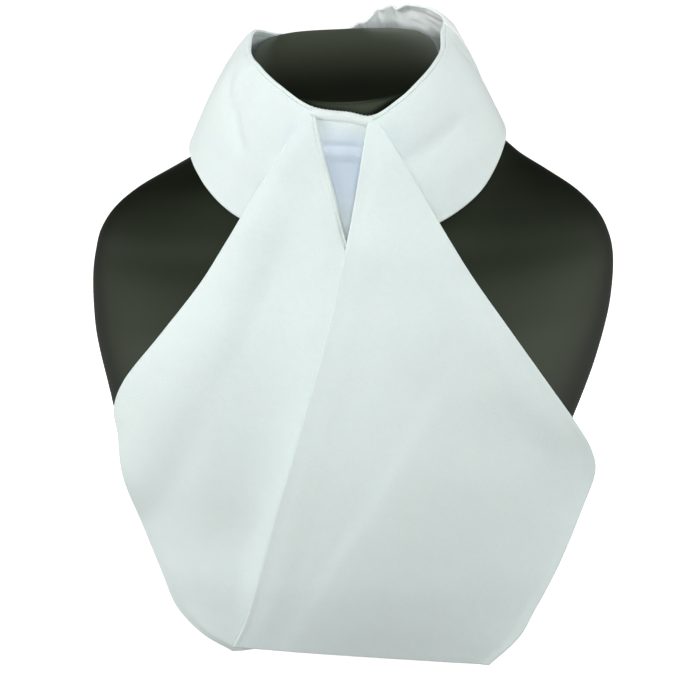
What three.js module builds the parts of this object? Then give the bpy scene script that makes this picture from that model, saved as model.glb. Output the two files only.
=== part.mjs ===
// Ready-tied riding stock on a plain neck bust: a flared collar closed behind the neck,
// a gathered elastic stretch at its back, and two wide doubled wings that cross on the chest.
// Millimetres, +Z up, the wearer's front faces -Y, the bust's flat foot stands on Z = 0.
import * as THREE from "three";

// Cloth thicknesses. The collar and the wings are doubled cotton with interlining. Every cloth
// edge bulges out by EDGE_ROUNDING of half its thickness.
const COLLAR_WALL = 2.0;
const GATHER_WALL = 1.8;
const WING_WALL = 2.4;
const TAB_WALL = 1.6;
const EDGE_ROUNDING = 0.8;

// Where the collar ends and the gathered stretch and fastening tab begin, in degrees round
// the neck: 0 is the front, positive goes to the viewer's right.
const COLLAR_START = -172;
const COLLAR_END = 112;
const GATHER_GAP = 1.95;
const TAB = { start: 170, end: 206, top: 0.2, hem: 0.86, outOnRuffles: 3.7, outOnCollar: 2.2 };

// The collar wall, by station round the neck. Radii and heights are of the middle of the wall,
// at the top edge and at the hem; bow is how far the wall swells outwards between them.
const COLLAR_STATIONS = [
  { angle: -180, topRadius: 65.0, topHeight: 356.0, hemRadius: 79.0, hemHeight: 309.0, bow: 2.0 },
  { angle: -150, topRadius: 66.5, topHeight: 356.0, hemRadius: 84.0, hemHeight: 308.5, bow: 4.0 },
  { angle: -120, topRadius: 60.0, topHeight: 362.5, hemRadius: 92.0, hemHeight: 307.0, bow: 4.5 },
  { angle: -100, topRadius: 55.2, topHeight: 357.5, hemRadius: 92.5, hemHeight: 302.5, bow: 4.5 },
  { angle: -80, topRadius: 54.4, topHeight: 353.5, hemRadius: 89.0, hemHeight: 292.5, bow: 4.5 },
  { angle: -60, topRadius: 55.6, topHeight: 349.0, hemRadius: 84.0, hemHeight: 276.5, bow: 4.0 },
  { angle: -40, topRadius: 58.5, topHeight: 341.0, hemRadius: 78.0, hemHeight: 265.5, bow: 4.0 },
  { angle: -19, topRadius: 61.0, topHeight: 330.0, hemRadius: 71.5, hemHeight: 260.0, bow: 3.0 },
  { angle: 0, topRadius: 60.5, topHeight: 326.5, hemRadius: 69.0, hemHeight: 259.0, bow: 2.0 },
  { angle: 12, topRadius: 61.0, topHeight: 324.0, hemRadius: 69.5, hemHeight: 259.0, bow: 2.5 },
  { angle: 28, topRadius: 60.3, topHeight: 332.0, hemRadius: 73.0, hemHeight: 261.0, bow: 3.0 },
  { angle: 45, topRadius: 57.8, topHeight: 341.0, hemRadius: 77.0, hemHeight: 267.5, bow: 4.0 },
  { angle: 65, topRadius: 55.2, topHeight: 348.5, hemRadius: 82.0, hemHeight: 279.5, bow: 4.0 },
  { angle: 85, topRadius: 54.4, topHeight: 352.5, hemRadius: 88.5, hemHeight: 295.5, bow: 4.5 },
  { angle: 105, topRadius: 57.5, topHeight: 359.5, hemRadius: 93.5, hemHeight: 306.0, bow: 4.5 },
  { angle: 122, topRadius: 67.5, topHeight: 366.0, hemRadius: 94.0, hemHeight: 309.5, bow: 5.0 },
  { angle: 145, topRadius: 70.0, topHeight: 371.0, hemRadius: 91.0, hemHeight: 310.0, bow: 5.0 },
  { angle: 163, topRadius: 67.5, topHeight: 367.0, hemRadius: 83.5, hemHeight: 310.0, bow: 3.0 },
];
const BOW_SKEW = 0.7;

// Soft dents and swells in the collar, as ellipses on its wall: down is the share of the way
// from the top edge to the hem, and height is positive outwards.
const COLLAR_DENTS = [
  { name: "left upright fold", angle: -62, down: 0.5, acrossDeg: 6, downShare: 0.38, height: -1.3 },
  { name: "left swell", angle: -48, down: 0.6, acrossDeg: 9, downShare: 0.35, height: 1.0 },
  { name: "right dent", angle: 48, down: 0.5, acrossDeg: 11, downShare: 0.16, height: -1.8 },
  { name: "right swell", angle: 40, down: 0.78, acrossDeg: 12, downShare: 0.16, height: 0.9 },
  { name: "front tuck", angle: -3, down: 0.21, acrossDeg: 16, downShare: 0.05, height: -1.5 },
  { name: "front roll", angle: -3, down: 0.29, acrossDeg: 16, downShare: 0.05, height: 1.2 },
  { name: "front dip", angle: -3, down: 0.38, acrossDeg: 14, downShare: 0.06, height: -0.8 },
];

// The gathered stretch: upright ruffles that are deepest at the top and hem, where lift makes
// the edge wavy. middle is the share of the depth left halfway down, lean is in ruffles, uneven
// is how much the ruffles differ, and the endFade-th part of the stretch at either end runs flat.
const RUFFLES = { count: 9, depth: 2.6, middle: 0.45, lean: 0.9, lift: 1.4, uneven: 0.25, endFade: 7 };

// The folded band along the collar's top front, which the two wings hang from.
const BAND = { startAngle: -18.5, endAngle: 12, height: 3.6, depth: 2.0, gap: 0.6, rise: 0.8 };

// How far in front of the neck axis the wings hang at each height, and how sharply they curve
// back to the sides: depth = -reach + curve * x * x.
const WING_PROFILE = [
  { height: 0, reach: 73.0, curve: 0.001 },
  { height: 20, reach: 78.5, curve: 0.0013 },
  { height: 40, reach: 84.0, curve: 0.0018 },
  { height: 65, reach: 89.0, curve: 0.0022 },
  { height: 95, reach: 92.5, curve: 0.0025 },
  { height: 125, reach: 94.0, curve: 0.0025 },
  { height: 155, reach: 93.5, curve: 0.0025 },
  { height: 185, reach: 91.5, curve: 0.0026 },
  { height: 210, reach: 88.5, curve: 0.0029 },
  { height: 235, reach: 84.0, curve: 0.0036 },
  { height: 260, reach: 80.0, curve: 0.0045 },
  { height: 285, reach: 76.4, curve: 0.0054 },
  { height: 308, reach: 72.4, curve: 0.0064 },
  { height: 330, reach: 66.6, curve: 0.0082 },
];

// Each wing's sections from its point at the collar down to its end. The inner edge is the one
// that crosses the chest; lift is how far the section lies in front of the profile above.
const LEFT_WING = [
  { innerX: -18.4, innerZ: 325.0, outerX: -22.5, outerZ: 327.0, lift: 0.0 },
  { innerX: -15.2, innerZ: 306.0, outerX: -37.0, outerZ: 306.5, lift: 0.0 },
  { innerX: -9.3, innerZ: 281.0, outerX: -54.5, outerZ: 281.5, lift: 0.0 },
  { innerX: -3.6, innerZ: 257.0, outerX: -70.0, outerZ: 257.5, lift: 0.0 },
  { innerX: 3.0, innerZ: 234.0, outerX: -86.0, outerZ: 234.0, lift: 0.0 },
  { innerX: 11.0, innerZ: 205.5, outerX: -109.5, outerZ: 205.5, lift: 0.0 },
  { innerX: 20.0, innerZ: 178.0, outerX: -132.0, outerZ: 178.0, lift: 0.0 },
  { innerX: 25.5, innerZ: 160.0, outerX: -140.0, outerZ: 159.5, lift: 0.0 },
  { innerX: 30.5, innerZ: 144.5, outerX: -138.4, outerZ: 145.0, lift: 0.0 },
  { innerX: 38.0, innerZ: 121.0, outerX: -137.0, outerZ: 122.5, lift: 0.0 },
  { innerX: 46.5, innerZ: 94.0, outerX: -128.2, outerZ: 95.0, lift: 0.0 },
  { innerX: 55.0, innerZ: 67.0, outerX: -117.4, outerZ: 66.0, lift: 0.0 },
  { innerX: 61.0, innerZ: 49.0, outerX: -109.8, outerZ: 45.5, lift: 0.0 },
  { innerX: 65.0, innerZ: 39.0, outerX: -96.0, outerZ: 30.0, lift: 0.0 },
  { innerX: 66.5, innerZ: 35.0, outerX: -79.0, outerZ: 19.8, lift: 0.0 },
];
const RIGHT_WING = [
  { innerX: 10.6, innerZ: 321.5, outerX: 15.0, outerZ: 322.5, lift: -2.2 },
  { innerX: 7.2, innerZ: 306.0, outerX: 25.0, outerZ: 306.0, lift: -0.8 },
  { innerX: 2.0, innerZ: 281.0, outerX: 38.2, outerZ: 281.5, lift: 0.4 },
  { innerX: -3.8, innerZ: 257.0, outerX: 51.5, outerZ: 257.0, lift: 3.5 },
  { innerX: -10.2, innerZ: 233.0, outerX: 65.0, outerZ: 233.5, lift: 3.6 },
  { innerX: -18.2, innerZ: 204.5, outerX: 83.5, outerZ: 205.0, lift: 3.6 },
  { innerX: -28.0, innerZ: 173.5, outerX: 103.0, outerZ: 174.5, lift: 3.6 },
  { innerX: -37.6, innerZ: 144.0, outerX: 122.0, outerZ: 144.0, lift: 3.6 },
  { innerX: -43.0, innerZ: 127.5, outerX: 130.6, outerZ: 126.5, lift: 3.6 },
  { innerX: -48.4, innerZ: 111.0, outerX: 132.2, outerZ: 111.5, lift: 3.6 },
  { innerX: -54.6, innerZ: 89.5, outerX: 122.6, outerZ: 89.5, lift: 3.6 },
  { innerX: -62.8, innerZ: 62.0, outerX: 109.0, outerZ: 62.0, lift: 3.6 },
  { innerX: -69.5, innerZ: 41.5, outerX: 94.5, outerZ: 37.5, lift: 3.6 },
  { innerX: -74.0, innerZ: 31.5, outerX: 85.0, outerZ: 22.0, lift: 3.6 },
  { innerX: -77.5, innerZ: 24.5, outerX: 68.0, outerZ: 6.6, lift: 3.6 },
];

// The part of the left wing that the right one covers lies this much further back. It sinks
// over a stretch of this width, which starts a little outside the right wing's edge.
const TUCK = { depth: 1.2, width: 26, before: 4 };

// The wings' ends are hollowed a little in the middle, which fades over the last few sections.
const END_HOLLOW = 2.4;
const END_FADE = 10;

// Soft ridges (height above 0) and hollows (below 0) in the wings: each runs straight from one
// point to the other, as seen from the front, and fades over its width on both sides. It fades
// out more slowly past its ends, by END_STRETCH.
const FOLD_SPREAD = 1.6;
const END_STRETCH = 0.6;
const LEFT_FOLDS = [
  { name: "outer roll", x0: -60, z0: 262, x1: -122, z1: 150, width: 20, height: 3.0 },
  { name: "long hollow", x0: -38, z0: 280, x1: -72, z1: 110, width: 20, height: -3.0 },
  { name: "inner swell", x0: -16, z0: 262, x1: -62, z1: 84, width: 11, height: 2.2 },
  { name: "lower crease", x0: -104, z0: 128, x1: -74, z1: 82, width: 10, height: -1.6 },
  { name: "corner hollow", x0: -128, z0: 118, x1: -108, z1: 96, width: 12, height: -1.8 },
];
const RIGHT_FOLDS = [
  { name: "long diagonal swell", x0: -30, z0: 72, x1: 40, z1: 182, width: 12, height: 2.6 },
  { name: "upper swell", x0: 22, z0: 276, x1: 34, z1: 226, width: 22, height: 2.2 },
  { name: "side hollow", x0: 78, z0: 142, x1: 116, z1: 118, width: 20, height: -2.6 },
  { name: "lower swell", x0: 40, z0: 62, x1: 92, z1: 74, width: 20, height: 1.8 },
  { name: "outer roll", x0: 50, z0: 240, x1: 108, z1: 150, width: 12, height: 1.6 },
];

// The bust, by level: half its width, its reach to the front and back, how square the front and
// back halves of the section are (2 is an ellipse), how far the level tips down to the front,
// and how far its middle lies to the right of the neck's.
const BUST_LEVELS = [
  { z: 0, half: 56, front: 32, back: 66, frontSquare: 2.2, backSquare: 2.4, tip: 0, shift: -9 },
  { z: 14, half: 61, front: 38, back: 69, frontSquare: 2.2, backSquare: 2.4, tip: 0, shift: -9 },
  { z: 32, half: 71, front: 46, back: 72, frontSquare: 2.1, backSquare: 2.3, tip: 0, shift: -9 },
  { z: 52, half: 86, front: 55, back: 75, frontSquare: 2.1, backSquare: 2.3, tip: 0, shift: -9 },
  { z: 76, half: 104, front: 64, back: 78, frontSquare: 2, backSquare: 2.2, tip: 0, shift: -9 },
  { z: 102, half: 121, front: 71, back: 81, frontSquare: 2, backSquare: 2.2, tip: 0, shift: -8.8 },
  { z: 132, half: 133.5, front: 76, back: 83, frontSquare: 2, backSquare: 2.2, tip: 0, shift: -7.9 },
  { z: 164, half: 142.8, front: 78, back: 84, frontSquare: 2, backSquare: 2.2, tip: 0, shift: -4.6 },
  { z: 192, half: 149.2, front: 76, back: 84, frontSquare: 2, backSquare: 2.2, tip: 0, shift: -2.7 },
  { z: 212, half: 151.4, front: 72, back: 83, frontSquare: 1.9, backSquare: 2.1, tip: 0, shift: -1.4 },
  { z: 230, half: 151.4, front: 67, back: 81, frontSquare: 1.8, backSquare: 2.1, tip: 0, shift: -0.6 },
  { z: 244, half: 148.6, front: 62, back: 79, frontSquare: 1.7, backSquare: 2, tip: 0, shift: -0.8 },
  { z: 256, half: 143.6, front: 59, back: 77, frontSquare: 1.6, backSquare: 2, tip: 0, shift: -2 },
  { z: 268, half: 133.7, front: 56, back: 74, frontSquare: 1.5, backSquare: 1.9, tip: 0, shift: -3.5 },
  { z: 279, half: 119, front: 54.5, back: 71, frontSquare: 1.45, backSquare: 1.8, tip: 0.02, shift: -4 },
  { z: 289, half: 101, front: 54.5, back: 68, frontSquare: 1.45, backSquare: 1.8, tip: 0.05, shift: -2.2 },
  { z: 297, half: 86, front: 55, back: 66, frontSquare: 1.5, backSquare: 1.9, tip: 0.08, shift: -0.6 },
  { z: 304, half: 74, front: 55.5, back: 64, frontSquare: 1.7, backSquare: 2.1, tip: 0.11, shift: 0.4 },
  { z: 313, half: 64, front: 56, back: 61.5, frontSquare: 1.9, backSquare: 2.5, tip: 0.15, shift: 1 },
  { z: 324, half: 56.5, front: 56, back: 59, frontSquare: 2, backSquare: 3, tip: 0.19, shift: 0.6 },
  { z: 335, half: 53.5, front: 56, back: 57.5, frontSquare: 2, backSquare: 3.4, tip: 0.22, shift: 0.2 },
  { z: 343, half: 53, front: 56, back: 56.5, frontSquare: 2, backSquare: 3.6, tip: 0.243, shift: 0 },
  { z: 345.3, half: 52, front: 55, back: 55.5, frontSquare: 2, backSquare: 3.6, tip: 0.243, shift: 0 },
  { z: 346, half: 49.5, front: 52.5, back: 53, frontSquare: 2, backSquare: 3.6, tip: 0.243, shift: 0 },
];

// How finely each surface is cut.
const BUST_SIDES = 44;
const COLLAR_STEP_DEG = 5.4;
const COLLAR_ROWS = 9;
const STEPS_PER_RUFFLE = 6;
const GATHER_ROWS = 7;
const BAND_STEPS = 9;
const BAND_SIDES = 8;
const TAB_COLUMNS = 10;
const TAB_ROWS = 4;
const WING_ROWS = 26;
const WING_COLUMNS = 15;

const radians = THREE.MathUtils.degToRad;

// A bell that is 1 at 0 and fades to 0 at 1 and beyond.
function bell(distance) {
  const d = Math.min(Math.abs(distance), 1);
  return (1 - d * d) ** 2;
}

// A smooth curve through the rows of a table, for the column asked for. With a period it runs
// on round from the last row to the first.
function follow(table, key, column, at, period = 0) {
  const count = table.length;
  const row = (i) => {
    const turns = Math.floor(i / count);
    const r = table[i - turns * count];
    return { at: r[key] + turns * period, value: r[column] };
  };
  const nearest = (i) => (period ? row(i) : row(Math.min(Math.max(i, 0), count - 1)));
  let i = 0;
  if (period) {
    while (at < table[0][key]) at += period;
    while (at >= table[0][key] + period) at -= period;
  }
  const last = period ? count - 1 : count - 2;
  while (i < last && at > nearest(i + 1).at) i++;
  const [before, start, end, after] = [nearest(i - 1), nearest(i), nearest(i + 1), nearest(i + 2)];
  const span = end.at - start.at;
  const share = Math.min(Math.max((at - start.at) / span, 0), 1);
  const slope = (a, b) => (b.at === a.at ? 0 : (b.value - a.value) / (b.at - a.at));
  const leave = slope(before.at === start.at ? start : before, end) * span;
  const arrive = slope(start, after.at === end.at ? end : after) * span;
  const s2 = share * share;
  const s3 = s2 * share;
  return (
    (2 * s3 - 3 * s2 + 1) * start.value +
    (s3 - 2 * s2 + share) * leave +
    (3 * s2 - 2 * s3) * end.value +
    (s3 - s2) * arrive
  );
}

// A closed geometry from a list of points and a list of quads or triangles.
function solid(points, faces) {
  const position = points.flatMap((p) => [p.x, p.y, p.z]);
  const index = faces.flatMap((f) => (f.length === 4 ? [f[0], f[1], f[2], f[0], f[2], f[3]] : f));
  const geometry = new THREE.BufferGeometry();
  geometry.setAttribute("position", new THREE.Float32BufferAttribute(position, 3));
  geometry.setIndex(index);
  geometry.computeVertexNormals();
  return geometry;
}

// A cloth wall with rounded edges, of one thickness, along a grid of middle points.
// grid[row][column] runs so that row x column points out of the face that shows.
function clothWall(grid, thickness) {
  const rows = grid.length;
  const columns = grid[0].length;
  const half = thickness / 2;
  const at = (r, c) => grid[Math.min(Math.max(r, 0), rows - 1)][Math.min(Math.max(c, 0), columns - 1)];
  const points = [];
  const outer = [];
  const inner = [];
  for (let r = 0; r < rows; r++) {
    outer.push([]);
    inner.push([]);
    for (let c = 0; c < columns; c++) {
      const along = at(r, c + 1).clone().sub(at(r, c - 1));
      const down = at(r + 1, c).clone().sub(at(r - 1, c));
      const normal = down.cross(along).normalize();
      outer[r].push(points.push(at(r, c).clone().addScaledVector(normal, half)) - 1);
      inner[r].push(points.push(at(r, c).clone().addScaledVector(normal, -half)) - 1);
    }
  }
  const faces = [];
  for (let r = 0; r + 1 < rows; r++) {
    for (let c = 0; c + 1 < columns; c++) {
      faces.push([outer[r][c], outer[r + 1][c], outer[r + 1][c + 1], outer[r][c + 1]]);
      faces.push([inner[r][c], inner[r][c + 1], inner[r + 1][c + 1], inner[r + 1][c]]);
    }
  }
  // The edge: down the first column, along the last row, up the last column, back along the first row.
  const edge = [];
  for (let r = 0; r < rows - 1; r++) edge.push([r, 0]);
  for (let c = 0; c < columns - 1; c++) edge.push([rows - 1, c]);
  for (let r = rows - 1; r > 0; r--) edge.push([r, columns - 1]);
  for (let c = columns - 1; c > 0; c--) edge.push([0, c]);
  const rim = edge.map(([r, c]) => {
    const intoRow = r === 0 ? 1 : r === rows - 1 ? -1 : 0;
    const intoColumn = c === 0 ? 1 : c === columns - 1 ? -1 : 0;
    const inwards = new THREE.Vector3();
    if (intoRow) inwards.add(at(r + intoRow, c).clone().sub(at(r, c)).normalize());
    if (intoColumn) inwards.add(at(r, c + intoColumn).clone().sub(at(r, c)).normalize());
    return points.push(at(r, c).clone().addScaledVector(inwards.normalize(), -half * EDGE_ROUNDING)) - 1;
  });
  edge.forEach(([r, c], i) => {
    const [nextRow, nextColumn] = edge[(i + 1) % edge.length];
    const nextRim = rim[(i + 1) % edge.length];
    faces.push([outer[r][c], rim[i], nextRim, outer[nextRow][nextColumn]]);
    faces.push([inner[r][c], inner[nextRow][nextColumn], nextRim, rim[i]]);
  });
  return solid(points, faces);
}

// A point of the collar's wall: angle round the neck, down from the top edge (0) to the hem (1),
// and out, the distance outside the middle of the wall.
function collarPoint(angle, down, out = 0) {
  const station = (column) => follow(COLLAR_STATIONS, "angle", column, angle, 360);
  const topRadius = station("topRadius");
  const topHeight = station("topHeight");
  const runOut = station("hemRadius") - topRadius;
  const drop = topHeight - station("hemHeight");
  const length = Math.hypot(runOut, drop);
  let swell = out + station("bow") * Math.sin(Math.PI * down ** BOW_SKEW);
  for (const dent of COLLAR_DENTS) {
    const across = (angle - dent.angle) / dent.acrossDeg;
    const along = (down - dent.down) / dent.downShare;
    swell += dent.height * bell(Math.hypot(across, along) / 2);
  }
  const radius = topRadius + runOut * down + (swell * drop) / length;
  const height = topHeight - drop * down + (swell * runOut) / length;
  return new THREE.Vector3(
    radius * Math.sin(radians(angle)),
    -radius * Math.cos(radians(angle)),
    height,
  );
}

// A stretch of the collar's wall between two angles. reshape may add to how far out a point lies
// and to its height.
function collarStretch(start, end, columns, rows, reshape = () => ({ out: 0, up: 0 }), top = 0, hem = 1) {
  const grid = [];
  for (let r = 0; r < rows; r++) {
    const down = top + ((hem - top) * r) / (rows - 1);
    grid.push([]);
    for (let c = 0; c < columns; c++) {
      const angle = start + ((end - start) * c) / (columns - 1);
      const { out, up } = reshape(angle, down);
      const point = collarPoint(angle, down, out);
      point.z += up;
      grid[r].push(point);
    }
  }
  return grid;
}

function collar() {
  const columns = Math.round((COLLAR_END - COLLAR_START) / COLLAR_STEP_DEG) + 1;
  return clothWall(collarStretch(COLLAR_START, COLLAR_END, columns, COLLAR_ROWS), COLLAR_WALL);
}

// The gathered stretch starts and ends a small gap from the collar's two ends.
function gatheredBack() {
  const start = COLLAR_END + GATHER_GAP;
  const end = COLLAR_START + 360 - GATHER_GAP;
  const columns = RUFFLES.count * STEPS_PER_RUFFLE + 1;
  const ruffle = (angle, down) => {
    const share = (angle - start) / (end - start);
    const ends = Math.min(1, share * RUFFLES.endFade, (1 - share) * RUFFLES.endFade);
    const edges = RUFFLES.middle + (1 - RUFFLES.middle) * Math.abs(2 * down - 1) ** 1.5;
    const turn = 2 * Math.PI * (share * RUFFLES.count + RUFFLES.lean * down * (1 - share));
    const size = 1 - RUFFLES.uneven * (1 - Math.sin(turn * 0.37 + 1));
    return {
      out: RUFFLES.depth * ends * edges * size * Math.sin(turn),
      up: RUFFLES.lift * ends * (1 - 2 * down) * Math.cos(turn * 0.5 + 0.6),
    };
  };
  return clothWall(collarStretch(start, end, columns, GATHER_ROWS, ruffle), GATHER_WALL);
}

// The hook-and-loop tab lies on the outside, over the place where the two ends meet: it steps
// down from the ruffles to the plain collar.
function fasteningTab() {
  const meeting = COLLAR_START + 360;
  const step = (angle) => {
    const share = THREE.MathUtils.smoothstep(angle, TAB.start, meeting + GATHER_GAP);
    return { out: TAB.outOnRuffles + (TAB.outOnCollar - TAB.outOnRuffles) * share, up: 0 };
  };
  const laid = collarStretch(TAB.start, TAB.end, TAB_COLUMNS, TAB_ROWS, step, TAB.top, TAB.hem);
  return clothWall(laid, TAB_WALL);
}

// The band follows the collar's top edge, just in front of its wall.
function frontBand() {
  const points = [];
  for (let i = 0; i <= BAND_STEPS; i++) {
    const angle = BAND.startAngle + ((BAND.endAngle - BAND.startAngle) * i) / BAND_STEPS;
    const edge = collarPoint(angle, 0, COLLAR_WALL / 2 + BAND.gap + BAND.depth / 2);
    const outwards = new THREE.Vector3(Math.sin(radians(angle)), -Math.cos(radians(angle)), 0);
    for (let k = 0; k < BAND_SIDES; k++) {
      const turn = (2 * Math.PI * k) / BAND_SIDES;
      const point = edge.clone().addScaledVector(outwards, (BAND.depth / 2) * Math.cos(turn));
      point.z += (BAND.height / 2) * (Math.sin(turn) - 1) + BAND.rise;
      points.push(point);
    }
  }
  const faces = [];
  for (let i = 0; i < BAND_STEPS; i++) {
    for (let k = 0; k < BAND_SIDES; k++) {
      const next = (k + 1) % BAND_SIDES;
      const [here, ahead] = [i * BAND_SIDES, (i + 1) * BAND_SIDES];
      faces.push([here + k, ahead + k, ahead + next, here + next]);
    }
  }
  const last = BAND_STEPS * BAND_SIDES;
  for (let k = 1; k + 1 < BAND_SIDES; k++) {
    faces.push([0, k, k + 1]);
    faces.push([last, last + k + 1, last + k]);
  }
  return solid(points, faces);
}

// How far forward the wings' cloth lies at a place seen from the front.
function wingDepth(x, z, folds) {
  const reach = follow(WING_PROFILE, "height", "reach", z);
  const curve = follow(WING_PROFILE, "height", "curve", z);
  let depth = -reach + curve * x * x;
  for (const fold of folds) {
    const [runX, runZ] = [fold.x1 - fold.x0, fold.z1 - fold.z0];
    const length = Math.hypot(runX, runZ);
    const along = ((x - fold.x0) * runX + (z - fold.z0) * runZ) / (length * length);
    const beyond = Math.max(0, -along, along - 1) * length;
    const aside = ((x - fold.x0) * runZ - (z - fold.z0) * runX) / length;
    depth -= fold.height * bell(Math.hypot(aside, beyond * END_STRETCH) / (fold.width * FOLD_SPREAD));
  }
  return depth;
}

// A wing's grid: rows from the point at the collar to the end, columns from the inner edge outwards.
function wingGrid(sections, folds, tuck) {
  const table = sections.map((section, index) => ({ ...section, index }));
  const grid = [];
  for (let r = 0; r < WING_ROWS; r++) {
    const index = ((sections.length - 1) * r) / (WING_ROWS - 1);
    const value = (column) => follow(table, "index", column, index);
    grid.push([]);
    for (let c = 0; c < WING_COLUMNS; c++) {
      const share = c / (WING_COLUMNS - 1);
      const hollow = END_HOLLOW * (index / (sections.length - 1)) ** END_FADE;
      const x = value("innerX") + (value("outerX") - value("innerX")) * share;
      const run = value("innerZ") + (value("outerZ") - value("innerZ")) * share;
      const z = run + hollow * 4 * share * (1 - share);
      const y = wingDepth(x, z, folds) - value("lift") + tuck(x, z);
      grid[r].push(new THREE.Vector3(x, y, z));
    }
  }
  return grid;
}

// How far a place on the left wing lies behind its visible part: it sinks where the right wing,
// whose inner edge is looked up at that height, covers it.
function tuckedBehind(x, z) {
  const falling = [...RIGHT_WING].reverse();
  const edgeX = follow(falling, "innerZ", "innerX", z);
  return TUCK.depth * THREE.MathUtils.smoothstep(x, edgeX - TUCK.before, edgeX - TUCK.before + TUCK.width);
}

// The left wing's inner edge is on its right, so its columns are turned round to face forwards.
function leftWing() {
  const grid = wingGrid(LEFT_WING, LEFT_FOLDS, tuckedBehind);
  return clothWall(grid.map((row) => [...row].reverse()), WING_WALL);
}

function rightWing() {
  return clothWall(wingGrid(RIGHT_WING, RIGHT_FOLDS, () => 0), WING_WALL);
}

// The bust is lofted through its levels, with a flat foot and a flat, tipped top.
function neckBust() {
  const points = [];
  for (const level of BUST_LEVELS) {
    for (let k = 0; k < BUST_SIDES; k++) {
      const turn = (2 * Math.PI * k) / BUST_SIDES;
      const [across, along] = [Math.cos(turn), Math.sin(turn)];
      const square = along < 0 ? level.frontSquare : level.backSquare;
      const x = level.shift + level.half * Math.sign(across) * Math.abs(across) ** (2 / square);
      const depth = along < 0 ? level.front : level.back;
      const y = depth * Math.sign(along) * Math.abs(along) ** (2 / square);
      points.push(new THREE.Vector3(x, y, level.z + level.tip * y));
    }
  }
  const faces = [];
  for (let i = 0; i + 1 < BUST_LEVELS.length; i++) {
    for (let k = 0; k < BUST_SIDES; k++) {
      const next = (k + 1) % BUST_SIDES;
      const [low, high] = [i * BUST_SIDES, (i + 1) * BUST_SIDES];
      faces.push([low + k, low + next, high + next, high + k]);
    }
  }
  const top = (BUST_LEVELS.length - 1) * BUST_SIDES;
  for (let k = 1; k + 1 < BUST_SIDES; k++) {
    faces.push([0, k + 1, k]);
    faces.push([top, top + k, top + k + 1]);
  }
  return solid(points, faces);
}

const cotton = { color: 0xe4ecea, roughness: 0.9, metalness: 0 };
const shadedCotton = { color: 0xdfe6ea, roughness: 0.9, metalness: 0 };
const plastic = { color: 0x2c322a, roughness: 0.55, metalness: 0 };

function piece(name, geometry, finish) {
  const mesh = new THREE.Mesh(geometry, new THREE.MeshStandardMaterial(finish));
  mesh.name = name;
  return mesh;
}

const stock = new THREE.Group();
stock.add(
  piece("neck_bust", neckBust(), plastic),
  piece("collar", collar(), cotton),
  piece("gathered_back", gatheredBack(), cotton),
  piece("fastening_tab", fasteningTab(), shadedCotton),
  piece("front_band", frontBand(), cotton),
  piece("wing_left", leftWing(), cotton),
  piece("wing_right", rightWing(), cotton),
);

export default stock;
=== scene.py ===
"""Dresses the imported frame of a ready-tied riding stock that hangs on a plain neck bust.

Inside the classes lengths are millimetres, as in the frame's own drawing, and each mesh is
written in metres. +Z is up, the wearer's front faces -Y and +X is the viewer's right.
"""
import logging
import math
from dataclasses import dataclass, field
from enum import Enum
from typing import NamedTuple, Optional, Sequence

import bpy
from mathutils import Matrix, Vector, noise


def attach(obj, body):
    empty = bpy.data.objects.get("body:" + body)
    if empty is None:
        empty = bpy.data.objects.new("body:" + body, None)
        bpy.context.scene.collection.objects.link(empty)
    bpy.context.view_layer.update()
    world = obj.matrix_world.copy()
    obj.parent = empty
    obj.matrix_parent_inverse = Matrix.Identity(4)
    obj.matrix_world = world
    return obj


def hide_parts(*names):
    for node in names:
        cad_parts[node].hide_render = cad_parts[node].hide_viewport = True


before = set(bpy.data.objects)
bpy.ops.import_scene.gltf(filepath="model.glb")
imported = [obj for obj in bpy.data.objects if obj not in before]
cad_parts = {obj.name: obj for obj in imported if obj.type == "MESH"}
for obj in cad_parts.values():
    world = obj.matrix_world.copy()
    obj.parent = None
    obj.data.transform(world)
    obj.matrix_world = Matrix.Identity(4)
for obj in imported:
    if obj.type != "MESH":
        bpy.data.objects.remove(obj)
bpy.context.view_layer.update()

log = logging.getLogger("stock")

METRE = 0.001
BODY = "root"

Colour = tuple[float, float, float, float]
Glow = tuple[tuple[float, float], ...]


class Edge(Enum):
    """The four edges of a cloth grid."""

    FIRST_COLUMN = "first column"
    LAST_ROW = "last row"
    LAST_COLUMN = "last column"
    FIRST_ROW = "first row"


class EdgeShape(Enum):
    """How a cloth edge is finished, as steps of (outwards, forwards) in half walls."""

    ROLLED = ((0.45, 0.88), (0.84, 0.52), (1.0, 0.0), (0.84, -0.52), (0.45, -0.88))
    PRESSED = ((0.3, 0.8), (0.55, 0.45), (0.62, 0.0), (0.55, -0.45), (0.3, -0.8))
    TWO_PLY = ((0.3, 0.8), (0.1, 0.35), (-0.55, 0.1), (1.25, -0.2), (1.0, -0.85))


class Side(Enum):
    """Which wing, as the viewer sees it."""

    LEFT = "left"
    RIGHT = "right"


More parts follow.
